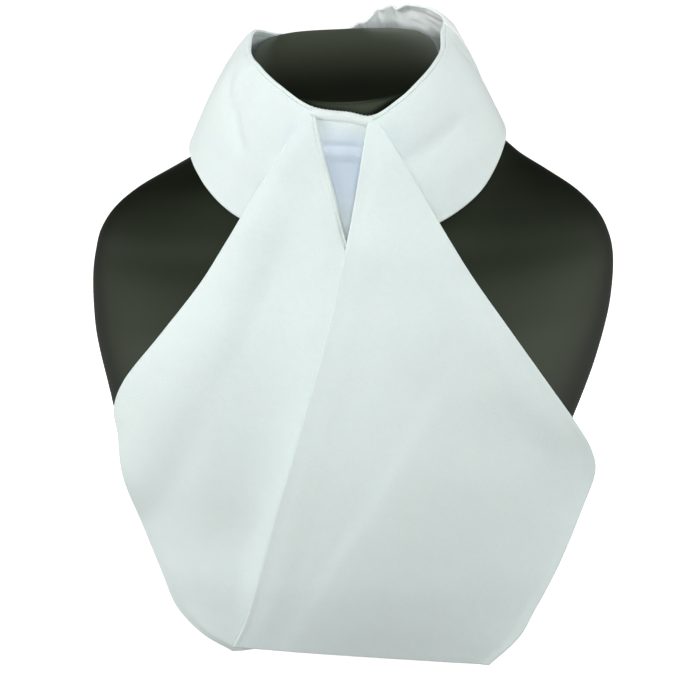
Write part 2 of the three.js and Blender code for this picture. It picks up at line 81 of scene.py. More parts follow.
class Fold(NamedTuple):
    """A soft ridge (height above 0) or hollow (below 0) that runs from one point to another.

    Its crest is round at 1, and sharper the nearer it is to 0. Its near side is as wide as
    lean says, beside the far one.
    """

    name: str
    x0: float
    z0: float
    x1: float
    z1: float
    width: float
    height: float
    crest: float = 1.0
    lean: float = 1.0

    def rise(self, x: float, z: float, spread: float, stretch: float) -> float:
        """Finds the fold's height at a place.

        Args:
            x: the place across.
            z: the place down.
            spread: how many widths the fold fades over.
            stretch: how fast it fades past its ends, beside how fast it fades sideways.

        Returns:
            The height, in millimetres.
        """
        run_x, run_z = self.x1 - self.x0, self.z1 - self.z0
        length = math.hypot(run_x, run_z)
        along = ((x - self.x0) * run_x + (z - self.z0) * run_z) / (length * length)
        beyond = max(0.0, -along, along - 1) * length * stretch
        aside = ((x - self.x0) * run_z - (z - self.z0) * run_x) / length
        aside /= self.lean if aside < 0 else 1.0
        off = min(math.hypot(aside, beyond) / (self.width * spread), 1.0)
        if self.crest >= 1:
            return self.height * bell(off)
        fall = (math.hypot(off, self.crest) - self.crest) / (math.hypot(1, self.crest) - self.crest)
        return self.height * (1 - fall) * (1 - off * off)


class Welt(NamedTuple):
    """A narrow bead (height above 0) or groove (below 0) that runs along an edge."""

    inset: float
    width: float
    height: float

    def rise(self, inside: float) -> float:
        """Gives its height at a distance inside the edge."""
        return self.height * math.exp(-(((inside - self.inset) / self.width) ** 2))


class Crumple(NamedTuple):
    """Soft uneven folds all over a cloth: how high, how far apart, and which ones."""

    height: float
    size: float
    seed: float

    def rise(self, x: float, z: float) -> float:
        """Reads the crumple at a place.

        Args:
            x: the place across, in millimetres.
            z: the place down, in millimetres.

        Returns:
            A height, in millimetres.
        """
        first = noise.noise(Vector((x / self.size, z / self.size, self.seed)))
        second = noise.noise(Vector((x / self.size * 2.3, z / self.size * 1.7, self.seed + 9)))
        return self.height * (first + 0.4 * second)


class Dent(NamedTuple):
    """A soft oval swell or dent in the collar."""

    name: str
    angle: float
    down: float
    across_deg: float
    down_share: float
    height: float


class Station(NamedTuple):
    """The collar's wall at one angle round the neck."""

    angle: float
    top_radius: float
    top_height: float
    hem_radius: float
    hem_height: float
    bow: float


class Hang(NamedTuple):
    """How far forward the wings hang at one height, and how sharply they curve back."""

    height: float
    reach: float
    curve: float


class Section(NamedTuple):
    """One section of a wing, from its inner edge to its outer one."""

    inner_x: float
    inner_z: float
    outer_x: float
    outer_z: float
    lift: float


class Level(NamedTuple):
    """One level of the bust: its half width, its depths, how square it is, its tip and shift."""

    z: float
    half: float
    front: float
    back: float
    front_square: float
    back_square: float
    tip: float
    shift: float


def linear(hex_colour: str) -> Colour:
    """Turns an sRGB hex colour into the linear colour that a shader takes.

    Args:
        hex_colour: the colour as six hex digits after a number sign.

    Returns:
        Linear red, green, blue and an alpha of 1.
    """
    parts = [int(hex_colour[i : i + 2], 16) / 255 for i in (1, 3, 5)]
    curve = [c / 12.92 if c <= 0.04045 else ((c + 0.055) / 1.055) ** 2.4 for c in parts]
    return (curve[0], curve[1], curve[2], 1.0)


def bell(distance: float) -> float:
    """Gives 1 at 0, fading to 0 at 1 and beyond."""
    d = min(abs(distance), 1.0)
    return (1 - d * d) ** 2


def smooth(value: float, low: float, high: float) -> float:
    """Rises smoothly from 0 at low to 1 at high.

    Args:
        value: where the rise is read.
        low: where it starts.
        high: where it ends.

    Returns:
        A share from 0 to 1.
    """
    share = min(max((value - low) / (high - low), 0.0), 1.0)
    return share * share * (3 - 2 * share)


def follow(places: Sequence[float], values: Sequence[float], at: float, period: float = 0) -> float:
    """Reads a smooth curve through a table's column.

    Args:
        places: the rising positions of the rows.
        values: the column's value at each row.
        at: the position asked for.
        period: the length after which the table starts again, or 0.

    Returns:
        The column's value there.
    """
    count = len(places)

    def row(i: int) -> tuple[float, float]:
        """Reads a row, going round or stopping at the table's ends.

        Args:
            i: the row's number, which may lie outside the table.

        Returns:
            The row's place and value.
        """
        if period:
            turns = i // count
            return places[i - turns * count] + turns * period, values[i - turns * count]
        i = min(max(i, 0), count - 1)
        return places[i], values[i]

    if period:
        at = places[0] + (at - places[0]) % period
    i = 0
    last = count - 1 if period else count - 2
    while i < last and at > row(i + 1)[0]:
        i += 1
    before, start, end, after = row(i - 1), row(i), row(i + 1), row(i + 2)
    span = end[0] - start[0]
    share = min(max((at - start[0]) / span, 0.0), 1.0)
    leave = (end[1] - before[1]) / (end[0] - before[0]) * span
    arrive = (after[1] - start[1]) / (after[0] - start[0]) * span
    s2, s3 = share * share, share**3
    return (
        (2 * s3 - 3 * s2 + 1) * start[1]
        + (s3 - 2 * s2 + share) * leave
        + (3 * s2 - 2 * s3) * end[1]
        + (s3 - s2) * arrive
    )


def spread(count: int) -> list[float]:
    """Gives count even steps from 0 to 1, both ends included."""
    return [i / (count - 1) for i in range(count)]


def crowded(count: int, at_start: float, at_end: float, fade: float = 18.0) -> list[float]:
    """Gives steps from 0 to 1 that crowd together at the ends.

    Args:
        count: how many values.
        at_start: how much they crowd at 0, where 0 is not at all.
        at_end: how much they crowd at 1.
        fade: how fast the crowding fades away from the ends.

    Returns:
        The rising values.
    """
    weights = [
        1 / (1 + at_start * math.exp(-fade * s) + at_end * math.exp(-fade * (1 - s)))
        for s in spread(count - 1)
    ]
    total, steps = sum(weights), [0.0]
    for weight in weights:
        steps.append(steps[-1] + weight / total)
    steps[-1] = 1.0
    return steps


def add_node(
    tree: bpy.types.NodeTree,
    kind: str,
    settings: Optional[dict] = None,
    inputs: Optional[dict] = None,
) -> bpy.types.Node:
    """Adds a node with its settings, values and links.

    Args:
        tree: the node tree.
        kind: the node's type name.
        settings: the node's own properties, by name.
        inputs: what each input holds, by its name or number: a value, or an output to link.

    Returns:
        The new node.
    """
    node = tree.nodes.new(kind)
    for key, value in (settings or {}).items():
        setattr(node, key, value)
    for key, value in (inputs or {}).items():
        socket = node.inputs[key]
        if isinstance(value, bpy.types.NodeSocket):
            tree.links.new(value, socket)
        else:
            socket.default_value = value
    return node


def calculate(
    tree: bpy.types.NodeTree,
    operation: str,
    *terms: float | bpy.types.NodeSocket,
) -> bpy.types.NodeSocket:
    """Adds a sum, product or other calculation.

    Args:
        tree: the node tree.
        operation: the Math node's operation.
        terms: what it works on, in order.

    Returns:
        The result.
    """
    inputs = dict(enumerate(terms))
    return add_node(tree, "ShaderNodeMath", {"operation": operation}, inputs).outputs[0]


def fractal(
    tree: bpy.types.NodeTree,
    place: bpy.types.NodeSocket,
    scale: float,
    detail: float,
    roughness: float = 0.5,
) -> bpy.types.Node:
    """Adds a cloudy noise.

    Args:
        tree: the node tree.
        place: where it is read, in metres.
        scale: how many of its lumps lie along a metre.
        detail: how many finer noises lie on it.
        roughness: how strong the finer ones are.

    Returns:
        The noise's node, which gives a value and a colour.
    """
    inputs = {"Vector": place, "Scale": scale, "Detail": detail, "Roughness": roughness}
    return add_node(tree, "ShaderNodeTexNoise", inputs=inputs)


def rescale(
    tree: bpy.types.NodeTree,
    value: bpy.types.NodeSocket,
    given: tuple[float, float],
    wanted: tuple[float, float] = (0.0, 1.0),
    soft: bool = False,
) -> bpy.types.NodeSocket:
    """Maps one range of a value to another, and stops at its ends.

    Args:
        tree: the node tree.
        value: the value.
        given: the range that it is read in.
        wanted: what that range becomes.
        soft: whether it eases in and out.

    Returns:
        The new value.
    """
    ends = {"From Min": given[0], "From Max": given[1], "To Min": wanted[0], "To Max": wanted[1]}
    settings = {"interpolation_type": "SMOOTHSTEP" if soft else "LINEAR"}
    return add_node(tree, "ShaderNodeMapRange", settings, {"Value": value, **ends}).outputs["Result"]


def blend(
    tree: bpy.types.NodeTree,
    share: bpy.types.NodeSocket,
    first: Colour | bpy.types.NodeSocket,
    second: Colour,
) -> bpy.types.NodeSocket:
    """Mixes two colours.

    Args:
        tree: the node tree.
        share: how much of the second there is, from 0 to 1.
        first: the first colour.
        second: the second colour.

    Returns:
        The mixed colour.
    """
    inputs = {0: share, 6: first, 7: second}
    return add_node(tree, "ShaderNodeMix", {"data_type": "RGBA"}, inputs).outputs[2]


def roughen(
    tree: bpy.types.NodeTree, height: bpy.types.NodeSocket, strength: float, depth: float
) -> bpy.types.NodeSocket:
    """Adds a bump.

    Args:
        tree: the node tree.
        height: the surface's height.
        strength: how much of it shows, from 0 to 1.
        depth: its depth, in metres.

    Returns:
        The bumped normal.
    """
    inputs = {"Strength": strength, "Distance": depth, "Height": height}
    return add_node(tree, "ShaderNodeBump", inputs=inputs).outputs["Normal"]


def new_material(name: str) -> tuple[bpy.types.Material, bpy.types.NodeTree]:
    """Makes an empty node material.

    Args:
        name: the material's name.

    Returns:
        The material and its node tree.
    """
    material = bpy.data.materials.new(name)
    material.use_nodes = True
    material.node_tree.nodes.clear()
    return material, material.node_tree


def finish_surface(tree: bpy.types.NodeTree, shader: dict) -> None:
    """Ends a material with its shader and its output.

    Args:
        tree: the material's node tree.
        shader: what each input of the Principled BSDF holds.
    """
    surface = add_node(tree, "ShaderNodeBsdfPrincipled", inputs=shader)
    add_node(tree, "ShaderNodeOutputMaterial", inputs={"Surface": surface.outputs["BSDF"]})


@dataclass(frozen=True)
class CottonTwill:
    """Bleached cotton twill, woven and pressed: a matt white with faint slanting ribs.

    A real rib is 0.5 mm; it is drawn at rib_mm so that it shows as a grain in the render.
    """

    name: str = "cotton_twill"
    colour: str = "#e8f2ef"
    # The darker end of the cloth's tone: random mottle and slubs, and painted shade in the troughs
    # between the ribs.
    trough_shade_and_mottle: str = "#dbe7e4"
    # Lavender painted shade, mixed in wherever a piece's painted shade share is above 0.
    shade: str = "#d2dfec"
    rib_mm: float = 1.25
    rib_slant: tuple[float, float] = (0.84, 0.54)
    yarn_mm: float = 0.8
    yarn_slant: tuple[float, float] = (-0.3, 0.95)
    yarn_share: float = 0.35
    waver_scale: float = 260.0
    waver_mm: float = 1.3
    slub_scale: float = 900.0
    slub_share: float = 4.5
    mottle_mm: float = 14.0
    mottle_share: float = 1.5
    tones: tuple[float, float] = (0.4, 5.6)
    roughness: float = 0.88
    nap: float = 0.22
    depth_mm: float = 0.10
    glow: float = 0.2
    glow_mm: float = 1.5

    def grating(
        self,
        tree: bpy.types.NodeTree,
        weave: bpy.types.NodeSocket,
        step_mm: float,
        slant: tuple[float, float],
    ) -> bpy.types.NodeSocket:
        """Draws even lines across the cloth.

        Args:
            tree: the material's node tree.
            weave: the cloth's own coordinates, in metres.
            step_mm: how far apart the lines lie.
            slant: the direction across them.

        Returns:
            A wave from -1 to 1.
        """
        turns = 2 * math.pi / (step_mm * METRE)
        across = (slant[0] * turns, slant[1] * turns, 0)
        settings = {"operation": "DOT_PRODUCT"}
        phase = add_node(tree, "ShaderNodeVectorMath", settings, {0: weave, 1: across})
        return calculate(tree, "SINE", phase.outputs["Value"])

    def material(self) -> bpy.types.Material:
        """Builds the material.

        Returns:
            The finished material, which reads the piece's own UV map.
        """
        made, tree = new_material(self.name)
        weave = add_node(tree, "ShaderNodeUVMap", {"uv_map": "weave"}).outputs["UV"]
        waver = fractal(tree, weave, self.waver_scale, 2.0)
        sway = (self.waver_mm * METRE, self.waver_mm * METRE, 0.0)
        drift = add_node(
            tree,
            "ShaderNodeVectorMath",
            {"operation": "MULTIPLY_ADD"},
            {0: waver.outputs["Color"], 1: sway, 2: weave},
        ).outputs[0]
        patches = rescale(tree, waver.outputs["Fac"], (0.38, 0.62), (0.1, 1.3))
        lines = self.grating(tree, drift, self.rib_mm, self.rib_slant)
        ribs = calculate(tree, "MULTIPLY", lines, patches)
        yarns = self.grating(tree, drift, self.yarn_mm, self.yarn_slant)
        cloth = calculate(tree, "MULTIPLY_ADD", yarns, self.yarn_share, ribs)
        slub = fractal(tree, weave, self.slub_scale, 3.0, 0.7).outputs["Fac"]
        surface = calculate(tree, "MULTIPLY_ADD", slub, self.slub_share, cloth)
        mottle = fractal(tree, weave, 1 / (self.mottle_mm * METRE), 4.0, 0.6).outputs["Fac"]
        tone = calculate(tree, "MULTIPLY_ADD", mottle, self.mottle_share, surface)
        # Partly painted shade: the cloth turns darker in the troughs between the ribs, and also where
        # the random mottle and slubs run low.
        share = rescale(tree, tone, self.tones)
        tint = blend(tree, share, linear(self.trough_shade_and_mottle), linear(self.colour))
        # Painted shade: the cloth is mixed towards the lavender shade colour by the piece's own share
        # attribute.
        shade = add_node(tree, "ShaderNodeAttribute", {"attribute_name": "painted_shade_share"}).outputs["Fac"]
        finish_surface(
            tree,
            {
                "Base Color": blend(tree, shade, tint, linear(self.shade)),
                "Subsurface Weight": self.glow,
                "Subsurface Radius": (0.7, 0.85, 1.0),
                "Subsurface Scale": self.glow_mm * METRE,
                "Roughness": self.roughness,
                "Sheen Weight": self.nap,
                "Sheen Roughness": 0.5,
                "IOR": 1.46,
                "Normal": roughen(tree, surface, 0.35, self.depth_mm * METRE),
            },
        )
        return made


# A slightly lighter white copy of the same cotton for the gathers, which are one ply: painted light,
# standing in for the light that comes through them.
PAINTED_LIGHT_TWILL = CottonTwill("cotton_twill_painted_light", "#f8fdfb", "#eef6f3")


@dataclass(frozen=True)
class NappedTape:
    """Nylon hook-and-loop tape, brushed: a white fuzz that takes no highlight."""

    name: str = "nylon_loop_tape"
    colour: str = "#e6eaee"
    # Painted shade in the hollows between the tufts, mixed with random fuzz.
    hollow: str = "#bfc7cf"
    tuft_mm: float = 0.9
    fuzz_scale: float = 2600.0
    depth_mm: float = 0.3

    def material(self) -> bpy.types.Material:
        """Builds the material.

        Returns:
            The finished material, which reads the piece's own UV map.
        """
        made, tree = new_material(self.name)
        weave = add_node(tree, "ShaderNodeUVMap", {"uv_map": "weave"}).outputs["UV"]
        cells = {"Vector": weave, "Scale": 1 / (self.tuft_mm * METRE)}
        tufts = add_node(tree, "ShaderNodeTexVoronoi", inputs=cells).outputs["Distance"]
        fuzz = fractal(tree, weave, self.fuzz_scale, 3.0).outputs["Fac"]
        height = calculate(tree, "SUBTRACT", fuzz, tufts)
        # Painted shade: the tape turns darker where its height is low, between the tufts.
        share = rescale(tree, height, (-0.5, 0.5))
        finish_surface(
            tree,
            {
                "Base Color": blend(tree, share, linear(self.hollow), linear(self.colour)),
                "Roughness": 0.95,
                "Sheen Weight": 0.5,
                "IOR": 1.53,
                "Normal": roughen(tree, height, 0.6, self.depth_mm * METRE),
            },
        )
        return made


@dataclass(frozen=True)
class SewingThread:
    """Spun polyester thread, twisted: a slightly brighter, silkier white than the cloth."""

    name: str = "polyester_thread"
    colour: str = "#f1f5f4"
    # Painted shade for the twist's grooves, laid out as a cloudy noise.
    groove: str = "#cdd6da"
    twist_mm: float = 0.5
    depth_mm: float = 0.1

    def material(self) -> bpy.types.Material:
        """Builds the material.

        Returns:
            The finished material, which reads Object coordinates.
        """
        made, tree = new_material(self.name)
        place = add_node(tree, "ShaderNodeTexCoord").outputs["Object"]
        # Painted shade: the thread turns darker where the twist noise, which is also its bump, runs low.
        twist = fractal(tree, place, 1 / (self.twist_mm * METRE), 1.0).outputs["Fac"]
        finish_surface(
            tree,
            {
                "Base Color": blend(tree, twist, linear(self.groove), linear(self.colour)),
                "Roughness": 0.6,
                "Sheen Weight": 0.2,
                "IOR": 1.5,
                "Normal": roughen(tree, twist, 0.5, self.depth_mm * METRE),
            },
        )
        return made


@dataclass(frozen=True)
class MouldedPlastic:
    """Dark polyethylene, rotation-moulded: a satin skin with a fine orange-peel grain.

    The back of the neck's top is painted paler, as painted light, between painted_light_depths and above
    painted_light_heights, both in metres.
    """

    name: str = "moulded_polyethylene"
    colour: str = "#070a05"
    haze: str = "#11160d"
    # Pale colour painted on the back of the neck's top: painted light.
    painted_light: str = "#4a5142"
    grain_mm: float = 1.1
    cloud_mm: float = 60.0
    roughness: float = 0.4
    shine: float = 0.5
    tint: str = "#dff0d2"
    depth_mm: float = 0.05
    painted_light_depths: tuple[float, float] = (-0.045, 0.06)
    painted_light_heights: tuple[float, float] = (0.3, 0.335)

    def material(self) -> bpy.types.Material:
        """Builds the material.

        Returns:
            The finished material, which reads Object coordinates.
        """
        made, tree = new_material(self.name)
        place = add_node(tree, "ShaderNodeTexCoord").outputs["Object"]
        grain = fractal(tree, place, 1 / (self.grain_mm * METRE), 3.0, 0.6).outputs["Fac"]
        cloud = fractal(tree, place, 1 / (self.cloud_mm * METRE), 5.0, 0.55).outputs["Fac"]
        share = rescale(tree, calculate(tree, "MULTIPLY_ADD", grain, 0.8, cloud), (0.55, 1.25))
        tint = blend(tree, share, linear(self.colour), linear(self.haze))
        # Painted light: the back of the neck's top is mixed towards the pale colour, fading in towards
        # the back and the top.
        spot = add_node(tree, "ShaderNodeSeparateXYZ", inputs={"Vector": place}).outputs
        behind = rescale(tree, spot["Y"], self.painted_light_depths, soft=True)
        above = rescale(tree, spot["Z"], self.painted_light_heights, soft=True)
        painted_light = calculate(tree, "MULTIPLY", behind, above)
        satin = rescale(tree, cloud, (0.0, 1.0), (self.roughness - 0.05, self.roughness + 0.07))
        finish_surface(
            tree,
            {
                "Base Color": blend(tree, painted_light, tint, linear(self.painted_light)),
                "Roughness": satin,
                "IOR": 1.5,
                "Specular IOR Level": self.shine,
                "Specular Tint": linear(self.tint),
                "Normal": roughen(tree, grain, 0.35, self.depth_mm * METRE),
            },
        )
        return made


def make_object(
    name: str,
    points: Sequence[Vector],
    faces: Sequence[Sequence[int]],
    material: bpy.types.Material,
    weave: Optional[Sequence[tuple[float, float]]] = None,
    painted_shade_share: Optional[Sequence[float]] = None,
) -> bpy.types.Object:
    """Makes a smooth-shaded object at the origin.

    Args:
        name: the object's name.
        points: its points, in millimetres.
        faces: point numbers, anticlockwise as seen from outside.
        material: its finish.
        weave: each point's place in the cloth, in millimetres, for the UV map.
        painted_shade_share: how much painted shade each point's cloth gets, from 0 to 1.

    Returns:
        The object.
    """
    mesh = bpy.data.meshes.new(name)
    mesh.from_pydata([p * METRE for p in points], [], faces)
    mesh.polygons.foreach_set("use_smooth", [True] * len(mesh.polygons))
    if weave is not None:
        layer = mesh.uv_layers.new(name="weave")
        for loop in mesh.loops:
            u, v = weave[loop.vertex_index]
            layer.data[loop.index].uv = (u * METRE, v * METRE)
    if painted_shade_share is not None:
        mesh.attributes.new("painted_shade_share", "FLOAT", "POINT").data.foreach_set("value", painted_shade_share)
    mesh.materials.append(material)
    mesh.update()
    made = bpy.data.objects.new(name, mesh)
    bpy.context.scene.collection.objects.link(made)
    return made


@dataclass
class ClothWall:
    """A doubled cloth wall over a grid of middle points, with a finished edge all round."""

    name: str
    wall: float
    edges: dict[Edge, EdgeShape] = field(default_factory=dict)

    def build(
        self,
        grid: list[list[Vector]],
        weave: list[list[tuple[float, float]]],
        material: bpy.types.Material,
        tint: Optional[list[list[float]]] = None,
    ) -> bpy.types.Object:
        """Lays both faces and the edge over the grid.

        Args:
            grid: the middle of the wall, by row and column; row crossed with column points
                out of the face that shows.
            weave: the cloth's own coordinates of the same places.
            material: the cloth's finish.
            tint: how much painted shade the cloth gets at the same places.

        Returns:
            One closed object.
        """
        rows, columns, half = len(grid), len(grid[0]), self.wall / 2
        painted_shade_share: list[float] = []
        points: list[Vector] = []
        uvs: list[tuple[float, float]] = []
        normals: dict[tuple[int, int], Vector] = {}
        front: dict[tuple[int, int], int] = {}
        rear: dict[tuple[int, int], int] = {}
        for r in range(rows):
            for c in range(columns):
                along = grid[r][min(c + 1, columns - 1)] - grid[r][max(c - 1, 0)]
                down = grid[min(r + 1, rows - 1)][c] - grid[max(r - 1, 0)][c]
                normal = down.cross(along).normalized()
                normals[r, c] = normal
                front[r, c] = len(points)
                rear[r, c] = len(points) + 1
                points += [grid[r][c] + normal * half, grid[r][c] - normal * half]
                uvs += [weave[r][c]] * 2
                painted_shade_share += [tint[r][c] if tint else 0.0] * 2
        faces: list[tuple[int, ...]] = []
        for r in range(rows - 1):
            for c in range(columns - 1):
                a, b, d, e = (r, c), (r + 1, c), (r + 1, c + 1), (r, c + 1)
                faces.append((front[a], front[b], front[d], front[e]))
                faces.append((rear[a], rear[e], rear[d], rear[b]))
        border = self.border(grid)
        rings = [[front[place] for place, _, _ in border]]
        for step in range(len(EdgeShape.ROLLED.value)):
            ring = []
            for place, outwards, edge in border:
                out, forwards = self.edges.get(edge, EdgeShape.ROLLED).value[step]
                spot = grid[place[0]][place[1]] + outwards * (out * half)
                ring.append(len(points))
                points.append(spot + normals[place] * (forwards * half))
                u, v = weave[place[0]][place[1]]
                uvs.append((u, v + half * (step + 1) * 0.3))
                painted_shade_share.append(0.0)
            rings.append(ring)
        rings.append([rear[place] for place, _, _ in border])
        for near, far in zip(rings, rings[1:]):
            for i in range(len(near)):
                j = (i + 1) % len(near)
                faces.append((near[i], far[i], far[j], near[j]))
        return make_object(self.name, points, faces, material, uvs, painted_shade_share)

    def border(self, grid: list[list[Vector]]) -> list[tuple[tuple[int, int], Vector, Edge]]:
        """Walks round the grid's edge.

        Args:
            grid: the middle of the wall.

        Returns:
            Each edge place with the direction out of the cloth and the edge that it is on.
        """
        rows, columns = len(grid), len(grid[0])
        walk = [((r, 0), Edge.FIRST_COLUMN) for r in range(rows - 1)]
        walk += [((rows - 1, c), Edge.LAST_ROW) for c in range(columns - 1)]
        walk += [((r, columns - 1), Edge.LAST_COLUMN) for r in range(rows - 1, 0, -1)]
        walk += [((0, c), Edge.FIRST_ROW) for c in range(columns - 1, 0, -1)]
        found = []
        for (r, c), edge in walk:
            inwards = Vector()
            if r in (0, rows - 1):
                inwards += (grid[1 if r == 0 else rows - 2][c] - grid[r][c]).normalized()
            if c in (0, columns - 1):
                inwards += (grid[r][1 if c == 0 else columns - 2] - grid[r][c]).normalized()
            found.append(((r, c), -inwards.normalized(), edge))
        return found


def stitch_tree(material: bpy.types.Material) -> bpy.types.GeometryNodeTree:
    """Builds the node group that sews a row of stitches along a path of edges.

    Args:
        material: the thread's finish.

    Returns:
        The node group, with inputs for the pitch, the stitch and how it leans.
    """
    tree = bpy.data.node_groups.new("stitch_row", "GeometryNodeTree")
    sockets = (
        ("Path", "NodeSocketGeometry", None),
        ("Pitch", "NodeSocketFloat", 0.003),
        ("Length", "NodeSocketFloat", 0.002),
        ("Thickness", "NodeSocketFloat", 0.0003),
        ("Lean", "NodeSocketFloat", 0.0),
        ("Across", "NodeSocketVector", (0.0, 0.0, 1.0)),
        ("Seed", "NodeSocketInt", 1),
    )
    for name, kind, value in sockets:
        socket = tree.interface.new_socket(name, in_out="INPUT", socket_type=kind)
        if value is not None:
            socket.default_value = value
    tree.interface.new_socket("Stitches", in_out="OUTPUT", socket_type="NodeSocketGeometry")
    given = add_node(tree, "NodeGroupInput").outputs
    curve = add_node(tree, "GeometryNodeMeshToCurve", inputs={"Mesh": given["Path"]}).outputs["Curve"]
    dots = add_node(
        tree,
        "GeometryNodeCurveToPoints",
        {"mode": "LENGTH"},
        {"Curve": curve, "Length": given["Pitch"]},
    ).outputs
    jitter = add_node(
        tree,
        "FunctionNodeRandomValue",
        {"data_type": "FLOAT"},
        {"Min": -0.12, "Max": 0.12, "Seed": given["Seed"]},
    )
    angle = calculate(tree, "ADD", given["Lean"], jitter.outputs["Value"])
    cosine = calculate(tree, "COSINE", angle)
    sine = calculate(tree, "SINE", angle)
    forward = add_node(
        tree, "ShaderNodeVectorMath", {"operation": "SCALE"}, {0: dots["Tangent"], "Scale": cosine}
    ).outputs[0]
    sideways = add_node(
        tree, "ShaderNodeVectorMath", {"operation": "SCALE"}, {0: given["Across"], "Scale": sine}
    ).outputs[0]
    heading = add_node(
        tree, "ShaderNodeVectorMath", {"operation": "ADD"}, {0: forward, 1: sideways}
    ).outputs[0]
    turned = add_node(
        tree, "FunctionNodeAlignRotationToVector", {"axis": "Z"}, {"Vector": heading}
    ).outputs["Rotation"]
    bead = add_node(
        tree, "GeometryNodeMeshUVSphere", inputs={"Segments": 6, "Rings": 5, "Radius": 0.5}
    ).outputs["Mesh"]
    size = add_node(
        tree,
        "ShaderNodeCombineXYZ",
        inputs={"X": given["Thickness"], "Y": given["Thickness"], "Z": given["Length"]},
    ).outputs["Vector"]
    sewn = add_node(
        tree,
        "GeometryNodeInstanceOnPoints",
        inputs={"Points": dots["Points"], "Instance": bead, "Rotation": turned, "Scale": size},
    ).outputs["Instances"]
    real = add_node(tree, "GeometryNodeRealizeInstances", inputs={"Geometry": sewn}).outputs[0]
    shaded = add_node(
        tree, "GeometryNodeSetMaterial", inputs={"Geometry": real, "Material": material}
    ).outputs["Geometry"]
    add_node(tree, "NodeGroupOutput", inputs={"Stitches": shaded})
    return tree


@dataclass
class StitchRow:
    """A row of stitches along a path, made by the stitch_row node group."""

    name: str
    pitch: float
    length: float
    thickness: float
    lean_deg: float = 0.0
    across: tuple[float, float, float] = (0.0, 0.0, 1.0)
    seed: int = 1

    def sew(self, path: Sequence[Vector], tree: bpy.types.GeometryNodeTree) -> bpy.types.Object:
        """Sews the stitches and turns them into a plain mesh.

        Args:
            path: the path's points, in millimetres.
            tree: the stitch_row node group.

        Returns:
            The stitches as one object.
        """
        mesh = bpy.data.meshes.new(self.name + "_path")
        mesh.from_pydata([p * METRE for p in path], [(i, i + 1) for i in range(len(path) - 1)], [])
        guide = bpy.data.objects.new(self.name + "_path", mesh)
        bpy.context.scene.collection.objects.link(guide)
        modifier = guide.modifiers.new("stitches", "NODES")
        modifier.node_group = tree
        values = {
            "Pitch": self.pitch * METRE,
            "Length": self.length * METRE,
            "Thickness": self.thickness * METRE,
            "Lean": math.radians(self.lean_deg),
            "Across": self.across,
            "Seed": self.seed,
        }
        for item in tree.interface.items_tree:
            if item.item_type == "SOCKET" and item.in_out == "INPUT" and item.name in values:
                modifier[item.identifier] = values[item.name]
        evaluated = guide.evaluated_get(bpy.context.evaluated_depsgraph_get())
        sewn = bpy.data.meshes.new_from_object(evaluated)
        sewn.name = self.name
        sewn.polygons.foreach_set("use_smooth", [True] * len(sewn.polygons))
        guide.modifiers.remove(modifier)
        bpy.data.objects.remove(guide)
        bpy.data.meshes.remove(mesh)
        made = bpy.data.objects.new(self.name, sewn)
        bpy.context.scene.collection.objects.link(made)
        return made


def hand_over(made: bpy.types.Object, node: Optional[str] = None) -> None:
    """Joins a finished piece to the frame.

    Args:
        made: the piece.
        node: the frame's node that it stands for, if it stands for one.
    """
    if node:
        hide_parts(node)
    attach(made, BODY)


